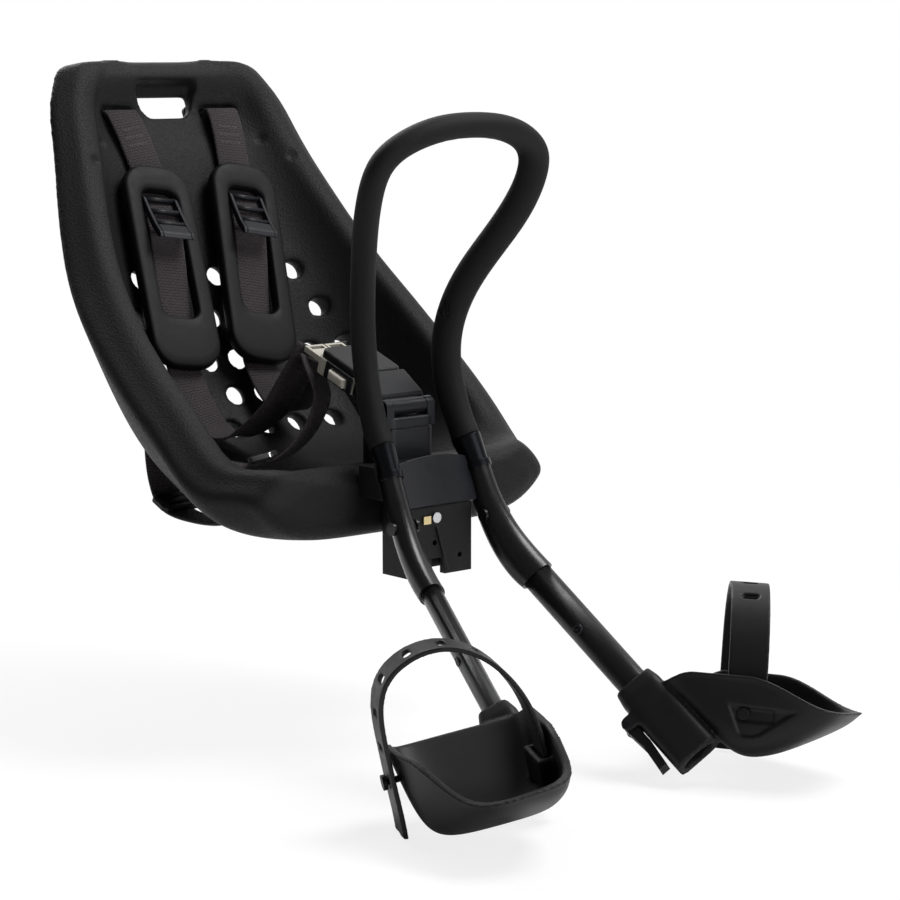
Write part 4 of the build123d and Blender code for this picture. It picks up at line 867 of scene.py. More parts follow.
@dataclass
class Harness:
    """Shoulder pads, webbing, adjusters and sewn ends."""

    back: BackPanel
    thread: SewnThread
    ribs: RibRow
    web_width: float = 26.0
    hip_width: float = 22.0
    web_thick: float = 2.0
    pad_length: float = 152.0
    pad_width: float = 54.0
    pad_round: float = 20.0
    window_width: float = 29.0
    window_length: float = 96.0
    window_shift: float = 9.0
    window_round: float = 8.0
    corner_steps: int = 9
    # Section of a pad: inwards from an edge, whether that edge is the window's, height
    pad_profile: tuple[tuple[float, bool, float], ...] = (
        (0.0, False, -1.2),
        (0.3, False, 2.2),
        (1.2, False, 4.2),
        (3.6, False, 5.0),
        (3.4, True, 5.0),
        (1.2, True, 4.5),
        (0.3, True, 3.4),
        (0.0, True, 1.0),
        (0.0, True, -2.6),
        (0.8, True, -3.8),
        (3.0, True, -4.0),
        (3.0, False, -4.0),
        (0.6, False, -3.4),
    )
    # Webbing inside the pad's window: up the pad and out from its middle
    window_run: tuple[tuple[float, float], ...] = (
        (76.0, -5.7),
        (58.5, -5.4),
        (46.0, -0.5),
        (28.0, 2.6),
        (4.0, 0.8),
        (-20.0, -3.2),
        (-38.0, -5.5),
        (-76.0, -5.7),
    )
    # Side view of an adjuster's rail: up the pad and out from its middle
    rail: Outline = (
        (54.0, 0.5),
        (50.0, 4.2),
        (38.0, 8.0),
        (26.0, 12.4),
        (18.0, 16.6),
        (13.5, 16.4),
        (15.5, 13.4),
        (24.0, 8.4),
        (38.0, 3.6),
        (50.0, -1.2),
    )
    rail_thick: float = 2.6
    adjuster_half: float = 13.8
    lip_inner: tuple[float, float] = (22.0, 10.8)
    lock_edge: float = 0.7
    # Cross bars of an adjuster: place of the upper one, step to the next, how far they enter the rails
    bar_count: int = 3
    bar_start: Point = (0.0, 50.0, 1.6)
    bar_step: Point = (0.0, -11.0, 3.9)
    bar_radius: float = 1.9
    bar_sink: float = 0.5
    slot_across: float = 43.0
    slot_rise: float = 213.0
    anchor_depth: float = -16.3
    anchor_drop: float = 18.0
    pad_ends: dict[str, tuple[Point, Point]] = field(
        default_factory=lambda: {
            "left": ((37.5, 163.0, 11.0), (9.0, 19.0, 14.0)),
            "right": ((-37.0, 165.0, 11.0), (-58.0, 17.0, 18.0)),
        }
    )
    free_runs: dict[str, tuple[Point, ...]] = field(
        default_factory=lambda: {
            "left": ((8.5, 168.0, 88.0), (10.0, 150.0, 103.0), (10.0, 133.0, 124.0), (8.1, 121.9, 136.6)),
            "right": (
                (-53.0, 172.0, 81.0),
                (-43.0, 156.0, 77.0),
                (-28.0, 139.0, 93.0),
                (-16.0, 129.0, 117.0),
                (-8.1, 121.9, 136.6),
            ),
        }
    )
    hip_run: tuple[Point, ...] = (
        (92.0, 140.0, 68.0),
        (66.0, 118.0, 62.0),
        (48.0, 102.0, 69.0),
        (31.0, 96.0, 85.0),
        (18.0, 99.0, 106.0),
        (11.6, 118.3, 128.9),
    )
    hip_across: Point = (1.0, -0.5, 0.0)
    # Bar tacks: on the shoulder webbing above its pad, on the hip webbing a share of the way to the bucket
    tack_rise: float = 190.0
    tack_proud: float = 4.0
    tack_share: float = 0.3
    tack_width: float = 16.0
    tack_stitches: int = 16
    tack_swing: float = 0.9
    tack_rows: tuple[float, ...] = (-6.0, 0.0, 6.0)
    tack_radius: float = 0.28
    rear_across: float = 101.0
    rear_run: tuple[tuple[float, float], ...] = (
        (166.0, 96.0),
        (166.5, 72.0),
        (163.0, 53.0),
        (155.0, 39.0),
        (141.0, 33.0),
        (116.0, 31.5),
        (91.0, 33.0),
        (70.0, 38.0),
        (52.0, 47.0),
    )

    def build(self) -> list[bpy.types.Object]:
        """Make both sides of the harness.

        Returns:
            Its new pieces.
        """
        pieces = []
        for name, side in SIDES.items():
            pieces.append(self.pad(name))
            pieces.append(self.shoulder_strap(name, side))
            pieces.append(self.hip_strap(name, side))
            pieces.append(self.rear_strap(name, side))
            pieces += self.adjuster(name)
            pieces.append(self.bar_tacks(name, side))
        return pieces

    def bar_tacks(self, name: str, side: float) -> bpy.types.Object:
        """Zigzag stitches where the webbing is doubled and sewn, on both of its faces.

        Args:
            name: which side of the child.
            side: 1 for the child's left, -1 for the right.

        Returns:
            The thread of that side.
        """
        wide = Vector((1, 0, 0))
        shoulder = Ribbon(self.web_width, self.web_thick)
        neck = self.back.point(side * self.slot_across, self.tack_rise, self.tack_proud)
        places = [shoulder.frame_at(self.shoulder_route(name, side), wide, neck)]
        route, wide = self.hip_route(side)
        hip = Ribbon(self.hip_width, self.web_thick)
        places.append(hip.frame_at(route, wide, route[1].lerp(route[0], self.tack_share)))
        lines = []
        half = self.tack_width / 2
        count = self.tack_stitches
        for place in places:
            for row in self.tack_rows:
                for height in (self.web_thick / 2, -self.web_thick / 2):
                    line = []
                    for step in range(count + 1):
                        swing = self.tack_swing * (1 if step % 2 else -1)
                        spot = Vector((-half + 2 * half * step / count, row + swing, height))
                        line.append((place @ spot) * MM)
                    lines.append(line)
        tack = self.thread.sew(f"bar_tack_{name}", lines, self.tack_radius, THREAD)
        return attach(tack, "seat")

    def pad_frame(self, name: str) -> Matrix:
        """Frame in the middle of a pad.

        Args:
            name: which side of the child.

        Returns:
            Matrix in millimetres with X across, Y up the pad and Z towards the child.
        """
        top, foot = (self.back.point(*end) for end in self.pad_ends[name])
        up = (top - foot).normalized()
        wide = up.cross(self.back.facing()).normalized()
        return axes((top + foot) / 2, wide, up, wide.cross(up))

    def pad(self, name: str) -> bpy.types.Object:
        """Crowned shoulder pad with a long window and rolled edges.

        Args:
            name: which side of the child.

        Returns:
            The pad of that side.
        """
        outer = self.loop(self.pad_width, self.pad_length, self.pad_round, 0.0)
        inner = self.loop(self.window_width, self.window_length, self.window_round, self.window_shift)
        place = self.pad_frame(name)
        work = bmesh.new()
        rings = []
        for inwards, from_window, height in self.pad_profile:
            ring = []
            for far, near in zip(outer, inner):
                wide = (near - far).length
                share = 1 - inwards / wide if from_window else inwards / wide
                flat = far.lerp(near, share)
                ring.append(work.verts.new((place @ Vector((flat.x, flat.y, height))) * MM))
            rings.append(ring)
        bridge(work, rings, closed=True)
        bmesh.ops.recalc_face_normals(work, faces=work.faces)
        pad = new_piece(f"pad_{name}", meshed(f"pad_{name}", work), FINISHES["pad_rubber"])
        smooth = pad.modifiers.new("round", "SUBSURF")
        smooth.levels = 1
        smooth.render_levels = 1
        apply_modifiers(pad)
        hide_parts(f"shoulder_pad_{name}")
        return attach(pad, "seat")

    def loop(self, width: float, length: float, radius: float, shift: float) -> list[Vector]:
        """Rounded rectangle with the same number of points whatever its size.

        Args:
            width: its width.
            length: its length.
            radius: radius of its corners.
            shift: how far its middle is moved up.

        Returns:
            Points round it, starting with the upper right corner.
        """
        points = []
        corners = [(1, 1, 0.0), (-1, 1, 0.5 * pi), (-1, -1, pi), (1, -1, 1.5 * pi)]
        for x, y, start in corners:
            middle = Vector((x * (width / 2 - radius), shift + y * (length / 2 - radius), 0.0))
            for step in range(self.corner_steps + 1):
                angle = start + 0.5 * pi * step / self.corner_steps
                points.append(middle + radius * Vector((cos(angle), sin(angle), 0.0)))
        return points

    def shoulder_route(self, name: str, side: float) -> list[Vector]:
        """Webbing from its plate behind the back, under the pad, to the buckle.

        Args:
            name: which side of the child.
            side: 1 for the child's left, -1 for the right.

        Returns:
            Points of the route in millimetres.
        """
        across = side * self.slot_across
        route = [
            self.back.point(across, self.slot_rise - self.anchor_drop, self.anchor_depth),
            self.back.point(across, self.slot_rise - self.web_thick, self.anchor_depth),
            self.back.point(across, self.slot_rise, self.anchor_depth / 2),
            self.back.point(across, self.slot_rise - self.web_thick, 2 * self.web_thick),
        ]
        pad = self.pad_frame(name)
        route += [pad @ Vector((0.0, up, out)) for up, out in self.window_run]
        return route + [Vector(point) for point in self.free_runs[name]]

    def shoulder_strap(self, name: str, side: float) -> bpy.types.Object:
        """One shoulder strap, its lower end running to the buckle.

        Args:
            name: which side of the child.
            side: 1 for the child's left, -1 for the right.

        Returns:
            The webbing of that side.
        """
        ribbon = Ribbon(self.web_width, self.web_thick)
        mesh = ribbon.mesh(f"shoulder_web_{name}", self.shoulder_route(name, side), Vector((1, 0, 0)))
        strap = new_piece(f"shoulder_web_{name}", mesh, FINISHES["webbing"])
        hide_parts(f"shoulder_strap_{name}")
        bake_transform(strap)
        return strap

    def hip_route(self, side: float) -> tuple[list[Vector], Vector]:
        """Hip webbing's route to the buckle, and the direction that its width keeps to."""
        x, y, z = self.hip_across
        return [Vector((side * a, b, c)) for a, b, c in self.hip_run], Vector((side * x, y, z))

    def hip_strap(self, name: str, side: float) -> bpy.types.Object:
        """One hip strap, its inner end running to the buckle.

        Args:
            name: which side of the child.
            side: 1 for the child's left, -1 for the right.

        Returns:
            The webbing of that side.
        """
        route, wide = self.hip_route(side)
        mesh = Ribbon(self.hip_width, self.web_thick).mesh(f"hip_web_{name}", route, wide)
        strap = new_piece(f"hip_web_{name}", mesh, FINISHES["webbing"])
        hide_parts(f"hip_strap_{name}")
        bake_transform(strap)
        return strap

    def rear_strap(self, name: str, side: float) -> bpy.types.Object:
        """Loop of webbing under the bucket.

        Args:
            name: which side of the child.
            side: 1 for the child's left, -1 for the right.

        Returns:
            The loop of that side.
        """
        route = [Vector((side * self.rear_across, y, z)) for y, z in self.rear_run]
        mesh = Ribbon(self.hip_width, self.web_thick).mesh(f"rear_web_{name}", route, Vector((1, 0, 0)))
        strap = new_piece(f"rear_web_{name}", mesh, FINISHES["webbing"])
        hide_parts(f"rear_strap_{name}")
        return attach(strap, "seat")

    def adjuster(self, name: str) -> list[bpy.types.Object]:
        """Ladder-lock adjuster tilted out of a pad's window.

        Args:
            name: which side of the child.

        Returns:
            The rails with their lip, and the cross bars.
        """
        place = self.pad_frame(name)
        finish = FINISHES["satin_plastic"]
        inner = self.adjuster_half - self.rail_thick
        work = bmesh.new()
        for side in SIDES.values():
            add_prism(work, place, self.rail, side * inner, side * self.adjuster_half)
        add_prism(work, place, (*self.rail[3:7], self.lip_inner), -inner, inner)
        lock = new_piece(f"ladder_lock_{name}", meshed(f"ladder_lock_{name}", work), finish)
        edge = lock.modifiers.new("edge", "BEVEL")
        edge.width = self.lock_edge * MM
        edge.segments = 2
        apply_modifiers(lock)
        lock.data.shade_flat()
        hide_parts(f"strap_adjuster_{name}")
        first = Matrix.Translation(place @ Vector(self.bar_start) * MM) @ place.to_3x3().to_4x4()
        step = Vector(self.bar_step)
        length = 2 * (inner + self.bar_sink)
        new_name = f"ladder_bars_{name}"
        bars = self.ribs.row(new_name, first, self.bar_count, step, length, self.bar_radius, finish)
        for piece in (lock, bars):
            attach(piece, "seat")
        return [lock, bars]


@dataclass
class HandleFrame:
    """Foam-covered handle loop on its tube."""

    voxel: float = 1.3
    rounds: int = 6

    def build(self) -> list[bpy.types.Object]:
        """Make the grip from its CAD solid.

        Returns:
            The grip alone.
        """
        grip = softened("foam_grip", "grip_foam", FINISHES["grip_foam"], self.voxel, self.rounds)
        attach(grip, "seat")
        return [grip]


@dataclass
class FootCups:
    """Moulded foot cups and their rubber straps."""

    cup_voxel: float = 0.95
    cup_rounds: int = 7
    strap_voxel: float = 0.8
    strap_rounds: int = 3
    leg_start: Point = (44.3, -43.0, -0.6)
    leg_run: Point = (0.1397, -0.7758, -0.6152)
    leg_out: Point = (0.6868, -1.0, 0.0)
    entry: float = 99.6
    # Squared jacket round each boot: distance past the entry, half sizes out and across
    jacket: tuple[Point, ...] = (
        (-4.0, 13.2, 10.0),
        (4.0, 14.8, 12.6),
        (30.0, 15.2, 13.4),
        (58.0, 15.2, 13.4),
    )
    jacket_power: float = 5.0
    jacket_bore: tuple[float, float] = (10.9, 7.6)
    jacket_points: int = 48
    toe_out: float = 28.0
    roll: float = 12.0
    # Faces that the bowl is rounded from: heel, sole, inside, outside, flank and toe,
    # each by its direction (toe-ward, outward, upward) and its distance
    faces: tuple[tuple[Point, float], ...] = (
        ((-0.656, 0.0, -0.755), -13.0),
        ((0.432, 0.0, -0.902), 67.5),
        ((0.0, -1.0, 0.0), 12.8),
        ((0.0, 1.0, 0.0), 76.0),
        ((0.393, 0.92, 0.0), 95.5),
        ((0.982, -0.191, 0.0), 130.0),
    )
    sharpness: float = 0.14
    wall: float = 3.2
    middle: Point = (66.0, 32.0, 8.0)
    bowl_points: int = 112
    bowl_rows: int = 30
    ray_length: float = 160.0
    ray_halvings: int = 36
    rim_levels: tuple[float, float, float] = (4.0, 14.0, -4.0)
    rim_rise: tuple[float, float] = (12.0, 38.0)
    rim_fall: tuple[float, float] = (72.0, 130.0)
    rim_flare: tuple[float, float] = (2.4, 1.0)
    flare_fade: float = 4.0
    flare_share: float = 0.6
    # Pocket for the strap's end on the inside: toe-ward, outward and upward reach of its blocks
    pocket: tuple[tuple[tuple[float, float], tuple[float, float], tuple[float, float]], ...] = (
        ((53.6, 57.8), (-9.6, -0.2), (-15.0, -2.0)),
        ((84.2, 88.4), (-9.6, -0.2), (-19.0, -2.0)),
        ((53.6, 88.4), (-4.0, -0.2), (-22.0, -2.0)),
        ((57.8, 88.4), (-9.6, -0.2), (-19.5, -15.0)),
    )
    # Ears for the lever's pin: along the leg, away from it, their reach across
    ear: Outline = (
        (11.4, 8.0),
        (11.4, 19.6),
        (12.8, 22.9),
        (16.0, 24.2),
        (19.2, 22.9),
        (20.6, 19.6),
        (20.6, 8.0),
    )
    ear_faces: tuple[float, float] = (8.4, 11.7)
    # Pressed panel on the inner wall: toe-ward and upward corners
    panel: Outline = ((60.0, -3.0), (106.0, -5.0), (71.0, -30.0))
    panel_depth: float = 1.6
    panel_edge: float = 2.2
    # Deeper window in the panel: middle and half sizes
    window_middle: tuple[float, float] = (78.0, -9.8)
    window_half: tuple[float, float] = (12.5, 4.4)
    window_round: float = 2.5
    window_depth: float = 1.1

    def build(self) -> list[bpy.types.Object]:
        """Make the straps from their CAD solids and the cups from their own moulded forms.

        Returns:
            Both cups and both straps.
        """
        pieces = []
        plans = {
            "foot_cup": ("footrest", "black_plastic", self.cup_voxel, self.cup_rounds),
            "toe_strap": ("foot_strap", "strap_rubber", self.strap_voxel, self.strap_rounds),
        }
        for name in SIDES:
            for kind, (node, slot, voxel, rounds) in plans.items():
                cup = kind == "foot_cup"
                extra = partial(self.add_forms, SIDES[name]) if cup else None
                new_name = f"{kind}_{name}"
                piece = softened(new_name, f"{node}_{name}", FINISHES[slot], voxel, rounds, extra, not cup)
                if cup:
                    self.press_panel(piece.data, SIDES[name])
                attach(piece, f"footrest_{name}")
                pieces.append(piece)
        return pieces

    def at_entry(self, side: float, x: Vector, y: Vector, z: Vector) -> Matrix:
        """Frame where the leg enters a boot, mirrored for the right."""
        place = Vector(self.leg_start) + Vector(self.leg_run).normalized() * self.entry
        return Matrix.Diagonal((side, 1.0, 1.0, 1.0)) @ axes(place, x, y, z)

    def leg_frame(self, side: float) -> Matrix:
        """Frame of a leg at its entry to a boot.

        Args:
            side: 1 for the child's left, -1 for the right.

        Returns:
            Matrix in millimetres with X out, Y across and Z down the leg.
        """
        run = Vector(self.leg_run).normalized()
        out = Vector(self.leg_out)
        out = (out - run * out.dot(run)).normalized()
        return self.at_entry(side, out, run.cross(out), run)

    def foot_frame(self, side: float) -> Matrix:
        """Frame of a cup at the leg's entry.

        Args:
            side: 1 for the child's left, -1 for the right.

        Returns:
            Matrix in millimetres with X to the toe, Y outwards and Z up.
        """
        toe = radians(self.toe_out)
        roll = radians(self.roll)
        ahead = Vector((sin(toe), -cos(toe), 0.0))
        up = Vector((sin(roll) * cos(toe), sin(roll) * sin(toe), cos(roll)))
        return self.at_entry(side, ahead, up.cross(ahead), up)

    def add_jacket(self, side: float, work: bmesh.types.BMesh) -> None:
        """Add the squared jacket round a boot, open where the leg runs.

        Args:
            side: 1 for the child's left, -1 for the right.
            work: mesh that gets the jacket.
        """
        rows = [(down, out, across, self.jacket_power) for down, out, across in self.jacket]
        rows += [(down, *self.jacket_bore, OVAL) for down, _, _ in self.jacket[::-1]]
        add_sleeve(work, self.leg_frame(side), rows, self.jacket_points)

    def rim(self, ahead: np.ndarray) -> np.ndarray:
        """Height of the rim.

        Args:
            ahead: distances towards the toe.

        Returns:
            The rim's height at each.
        """
        heel, side, toe = self.rim_levels
        levels = []
        for value in ahead:
            level = heel + (side - heel) * eased(value, *self.rim_rise)
            levels.append(level + (toe - side) * eased(value, *self.rim_fall))
        return np.array(levels)

    def outside(self, spots: np.ndarray) -> np.ndarray:
        """How far points lie outside the faces, rounded where faces meet."""
        away = np.stack([spots @ np.array(normal) - reach for normal, reach in self.faces])
        return np.log(np.exp(self.sharpness * away).sum(axis=0)) / self.sharpness

    def reach(self, place: Callable[[np.ndarray], np.ndarray], inset: float) -> np.ndarray:
        """Points at which rays leave the bowl.

        Args:
            place: gives the points at a distance along each ray.
            inset: how far inside the outer skin the rays stop.

        Returns:
            One point a ray.
        """
        near = np.zeros(self.bowl_points)
        far = np.full(self.bowl_points, self.ray_length)
        for _ in range(self.ray_halvings):
            half = (near + far) / 2
            inside = self.outside(place(half)) < -inset
            near = np.where(inside, half, near)
            far = np.where(inside, far, half)
        return place(near)

    def skin(self, inset: float, flare: float) -> list[np.ndarray]:
        """Rows of points from the bowl's rim down to its lowest point.

        Args:
            inset: how far the skin lies inside the outer one.
            flare: how far its rim turns out.

        Returns:
            Rows of points in the cup's frame.
        """
        angles = np.arange(self.bowl_points) * 2 * pi / self.bowl_points
        plan = np.stack([np.cos(angles), np.sin(angles), np.zeros(self.bowl_points)], axis=1)
        middle = np.array(self.middle)

        def level(length: np.ndarray) -> np.ndarray:
            """Points along level rays, at the rim's height.

            Args:
                length: distance along each ray.

            Returns:
                One point a ray.
            """
            spots = middle + plan * length[:, None]
            spots[:, 2] = self.rim(spots[:, 0])
            return spots

        edge = self.reach(level, inset)
        away = edge - middle
        away /= np.linalg.norm(away, axis=1)[:, None]
        down = np.array((0.0, 0.0, -1.0))
        turn = np.arccos(away @ down)[:, None]
        rows = [edge + plan * flare]
        for row in range(1, self.bowl_rows + 1):
            share = row / self.bowl_rows
            rays = (np.sin((1 - share) * turn) * away + np.sin(share * turn) * down) / np.sin(turn)
            spots = self.reach(lambda length: middle + rays * length[:, None], inset)
            fade = max(0.0, 1 - self.flare_fade * share) ** 2
            rows.append(spots + plan * flare * fade * self.flare_share)
        return rows

    def add_bowl(self, side: float, work: bmesh.types.BMesh) -> None:
        """Add the bowl: an outer and an inner skin joined at the rim.

        Args:
            side: 1 for the child's left, -1 for the right.
            work: mesh that gets the bowl.
        """
        place = self.foot_frame(side)
        rows = self.skin(0.0, self.rim_flare[0])[::-1] + self.skin(self.wall, self.rim_flare[1])
        rings = [[work.verts.new((place @ Vector(spot)) * MM) for spot in row] for row in rows]
        made = bridge(work, rings, closed=False)
        bmesh.ops.remove_doubles(work, verts=rings[0] + rings[-1], dist=MERGE)
        bmesh.ops.recalc_face_normals(work, faces=[face for face in made if face.is_valid])

    def add_forms(self, side: float, work: bmesh.types.BMesh) -> None:
        """Add all that is moulded as one: bowl, jacket, strap pocket and lever ears.

        Args:
            side: 1 for the child's left, -1 for the right.
            work: mesh that gets the forms.
        """
        self.add_bowl(side, work)
        self.add_jacket(side, work)
        foot = self.foot_frame(side)
        for ahead, out, up in self.pocket:
            box = ((out[0], up[0]), (out[1], up[0]), (out[1], up[1]), (out[0], up[1]))
            add_prism(work, foot, box, *ahead)
        leg = self.leg_frame(side)
        outline = tuple((-away, along) for along, away in self.ear)
        across = Matrix(((0, 1, 0, 0), (1, 0, 0, 0), (0, 0, 1, 0), (0, 0, 0, 1)))
        for hand in SIDES.values():
            start, stop = (hand * reach for reach in self.ear_faces)
            add_prism(work, leg @ across, outline, start, stop)

    def press_panel(self, mesh: bpy.types.Mesh, side: float) -> None:
        """Press the three-cornered panel and its window into the inner wall's outer face.

        Args:
            mesh: the cup's mesh, whose points move.
            side: 1 for the child's left, -1 for the right.
        """
        place = self.foot_frame(side)
        back = place.inverted()
        corners = [Vector(corner) for corner in self.panel]
        skin = -self.faces[2][1] + self.wall / 2
        for vertex in mesh.vertices:
            ahead, out, up = back @ (vertex.co / MM)
            if out > skin:
                continue
            spot = Vector((ahead, up))
            inside = []
            for start, stop in zip(corners, corners[1:] + corners[:1]):
                edge = (stop - start).normalized()
                inside.append(edge.y * (spot.x - start.x) - edge.x * (spot.y - start.y))
            out += self.panel_depth * eased(min(inside), 0.0, self.panel_edge)
            wide = abs(ahead - self.window_middle[0]) - self.window_half[0] + self.window_round
            tall = abs(up - self.window_middle[1]) - self.window_half[1] + self.window_round
            away = hypot(max(wide, 0.0), max(tall, 0.0)) + min(max(wide, tall), 0.0)
            out += self.window_depth * eased(self.window_round - away, 0.0, 1.0)
            vertex.co = place @ Vector((ahead, out, up)) * MM


@dataclass
class LowerLegs:
    """Straight oval tubes that carry the cups."""

    cups: FootCups
    half_long: float = 10.1
    half_short: float = 6.8
    tube_wall: float = 2.0
    above: float = -125.3
    below: float = 46.0
    end_round: float = 0.7
    points: int = 72

    def build(self) -> list[bpy.types.Object]:
        """Draw both tubes.

        Returns:
            One tube for each side.
        """
        edge = self.end_round
        outer = [
            (self.above, 0.0),
            (self.below - 3 * edge, 0.0),
            (self.below - edge, 0.0),
            (self.below, edge),
        ]
        inner = [
            (self.below, self.tube_wall - edge / 2),
            (self.below - edge, self.tube_wall),
            (self.above, self.tube_wall),
        ]
        rows = []
        for down, inset in outer + inner:
            rows.append((down, self.half_long - inset, self.half_short - inset, OVAL))
        pieces = []
        for name, side in SIDES.items():
            work = bmesh.new()
            add_sleeve(work, self.cups.leg_frame(side), rows, self.points)
            mesh = meshed(f"leg_tube_{name}", work)
            tube = new_piece(f"leg_tube_{name}", mesh, FINISHES["tube_paint"])
            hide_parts(f"lower_leg_{name}")
            pieces.append(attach(tube, "seat"))
        return pieces


@dataclass
class Buckle:
    """Fairing over the buckle's arm and dark cheeks on its base."""

    hinge: Point = (0.0, 34.5, 104.8)
    tilt: float = 20.0
    # Side view of the fairing along the arm: distance from the hinge and height
    fairing: Outline = (
        (7.0, -2.6),
        (7.0, 3.4),
        (9.0, 5.2),
        (30.0, 10.4),
        (31.2, 10.2),
        (31.2, -5.0),
        (26.0, -5.0),
    )
    fairing_half: float = 19.6
    cheek_faces: tuple[float, float] = (20.6, 22.0)
    # Plates of a cheek round the button's opening: from, to, low, high
    cheek: tuple[tuple[float, float, float, float], ...] = (
        (31.0, 36.2, -5.2, 6.6),
        (36.2, 53.8, 3.8, 6.6),
        (36.2, 53.8, -5.2, -3.8),
        (53.8, 60.0, -5.2, 6.6),
    )
    edge: float = 0.8

    def build(self) -> list[bpy.types.Object]:
        """Make the fairing with its cheeks.

        Returns:
            One piece riding on the buckle.
        """
        lean = radians(self.tilt)
        along = Vector((0.0, cos(lean), sin(lean)))
        up = Vector((0.0, -sin(lean), cos(lean)))
        place = axes(Vector(self.hinge), Vector((1, 0, 0)), along, up)
        work = bmesh.new()
        add_prism(work, place, self.fairing, -self.fairing_half, self.fairing_half)
        for side in SIDES.values():
            inner, outer = (side * reach for reach in self.cheek_faces)
            for start, stop, low, high in self.cheek:
                box = ((start, low), (stop, low), (stop, high), (start, high))
                add_prism(work, place, box, inner, outer)
        mesh = meshed("buckle_fairing", work)
        piece = new_piece("buckle_fairing", mesh, FINISHES["satin_plastic"])
        mesh.shade_flat()
        bevel = piece.modifiers.new("edge", "BEVEL")
        bevel.width = self.edge * MM
        bevel.segments = 2
        apply_modifiers(piece)
        return [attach(piece, "buckle")]


@dataclass
class StopButtons:
    """Spring buttons that show in the lower legs, with their pressed rims."""

    studio: "Studio"
    # Where each button shows in the picture, in pixels across and down
    spots: dict[str, tuple[float, float]] = field(
        default_factory=lambda: {"left": (577.0, 629.0), "right": (457.0, 662.0)}
    )
    # Section from the middle outwards: radius and height above the leg
    section: Outline = (
        (0.0, 0.1),
        (1.2, 0.0),
        (1.9, -0.5),
        (2.2, 0.1),
        (2.8, 0.25),
        (3.4, 0.0),
        (3.6, -0.9),
    )
    turns: int = 24

    def build(self) -> list[bpy.types.Object]:
        """Set one button on each leg where the photograph shows it.

        Returns:
            Both buttons.
        """
        pieces = []
        for name, spot in self.spots.items():
            leg = frame["nodes"][f"lower_leg_{name}"].data
            start, toward = self.studio.ray(*spot)
            corners = [vertex.co for vertex in leg.vertices]
            tree = BVHTree.FromPolygons(corners, [face.vertices for face in leg.polygons])
            place, normal, _, _ = tree.ray_cast(start, toward)
            turn = normal.to_track_quat("Z", "Y").to_matrix().to_4x4()
            mesh = self.lathe(f"stop_button_{name}", Matrix.Translation(place) @ turn)
            button = new_piece(f"stop_button_{name}", mesh, FINISHES["steel"])
            pieces.append(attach(button, "seat"))
        return pieces

    def lathe(self, name: str, place: Matrix) -> bpy.types.Mesh:
        """Turn the section about its axis.

        Args:
            name: name of the mesh.
            place: frame on the leg, metres.

        Returns:
            The turned mesh.
        """
        work = bmesh.new()
        rings = []
        for radius, height in self.section:
            angles = [2 * pi * step / self.turns for step in range(self.turns)]
            spots = [Vector((radius * cos(a), radius * sin(a), height)) * MM for a in angles]
            rings.append([work.verts.new(place @ spot) for spot in spots])
        bridge(work, rings, closed=False)
        work.faces.new(rings[-1])
        bmesh.ops.remove_doubles(work, verts=work.verts, dist=MERGE)
        bmesh.ops.recalc_face_normals(work, faces=work.faces)
        return meshed(name, work)


class CadNodes:
    """CAD nodes that stay as they are and get real finishes."""

    def dress(self) -> None:
        """Give each node the finish of its record slot."""
        for row in frame["record"]["subparts"]:
            node = frame["nodes"][row["node"]]
            node.data.materials.clear()
            node.data.materials.append(FINISHES[row["material_slot"]].material())


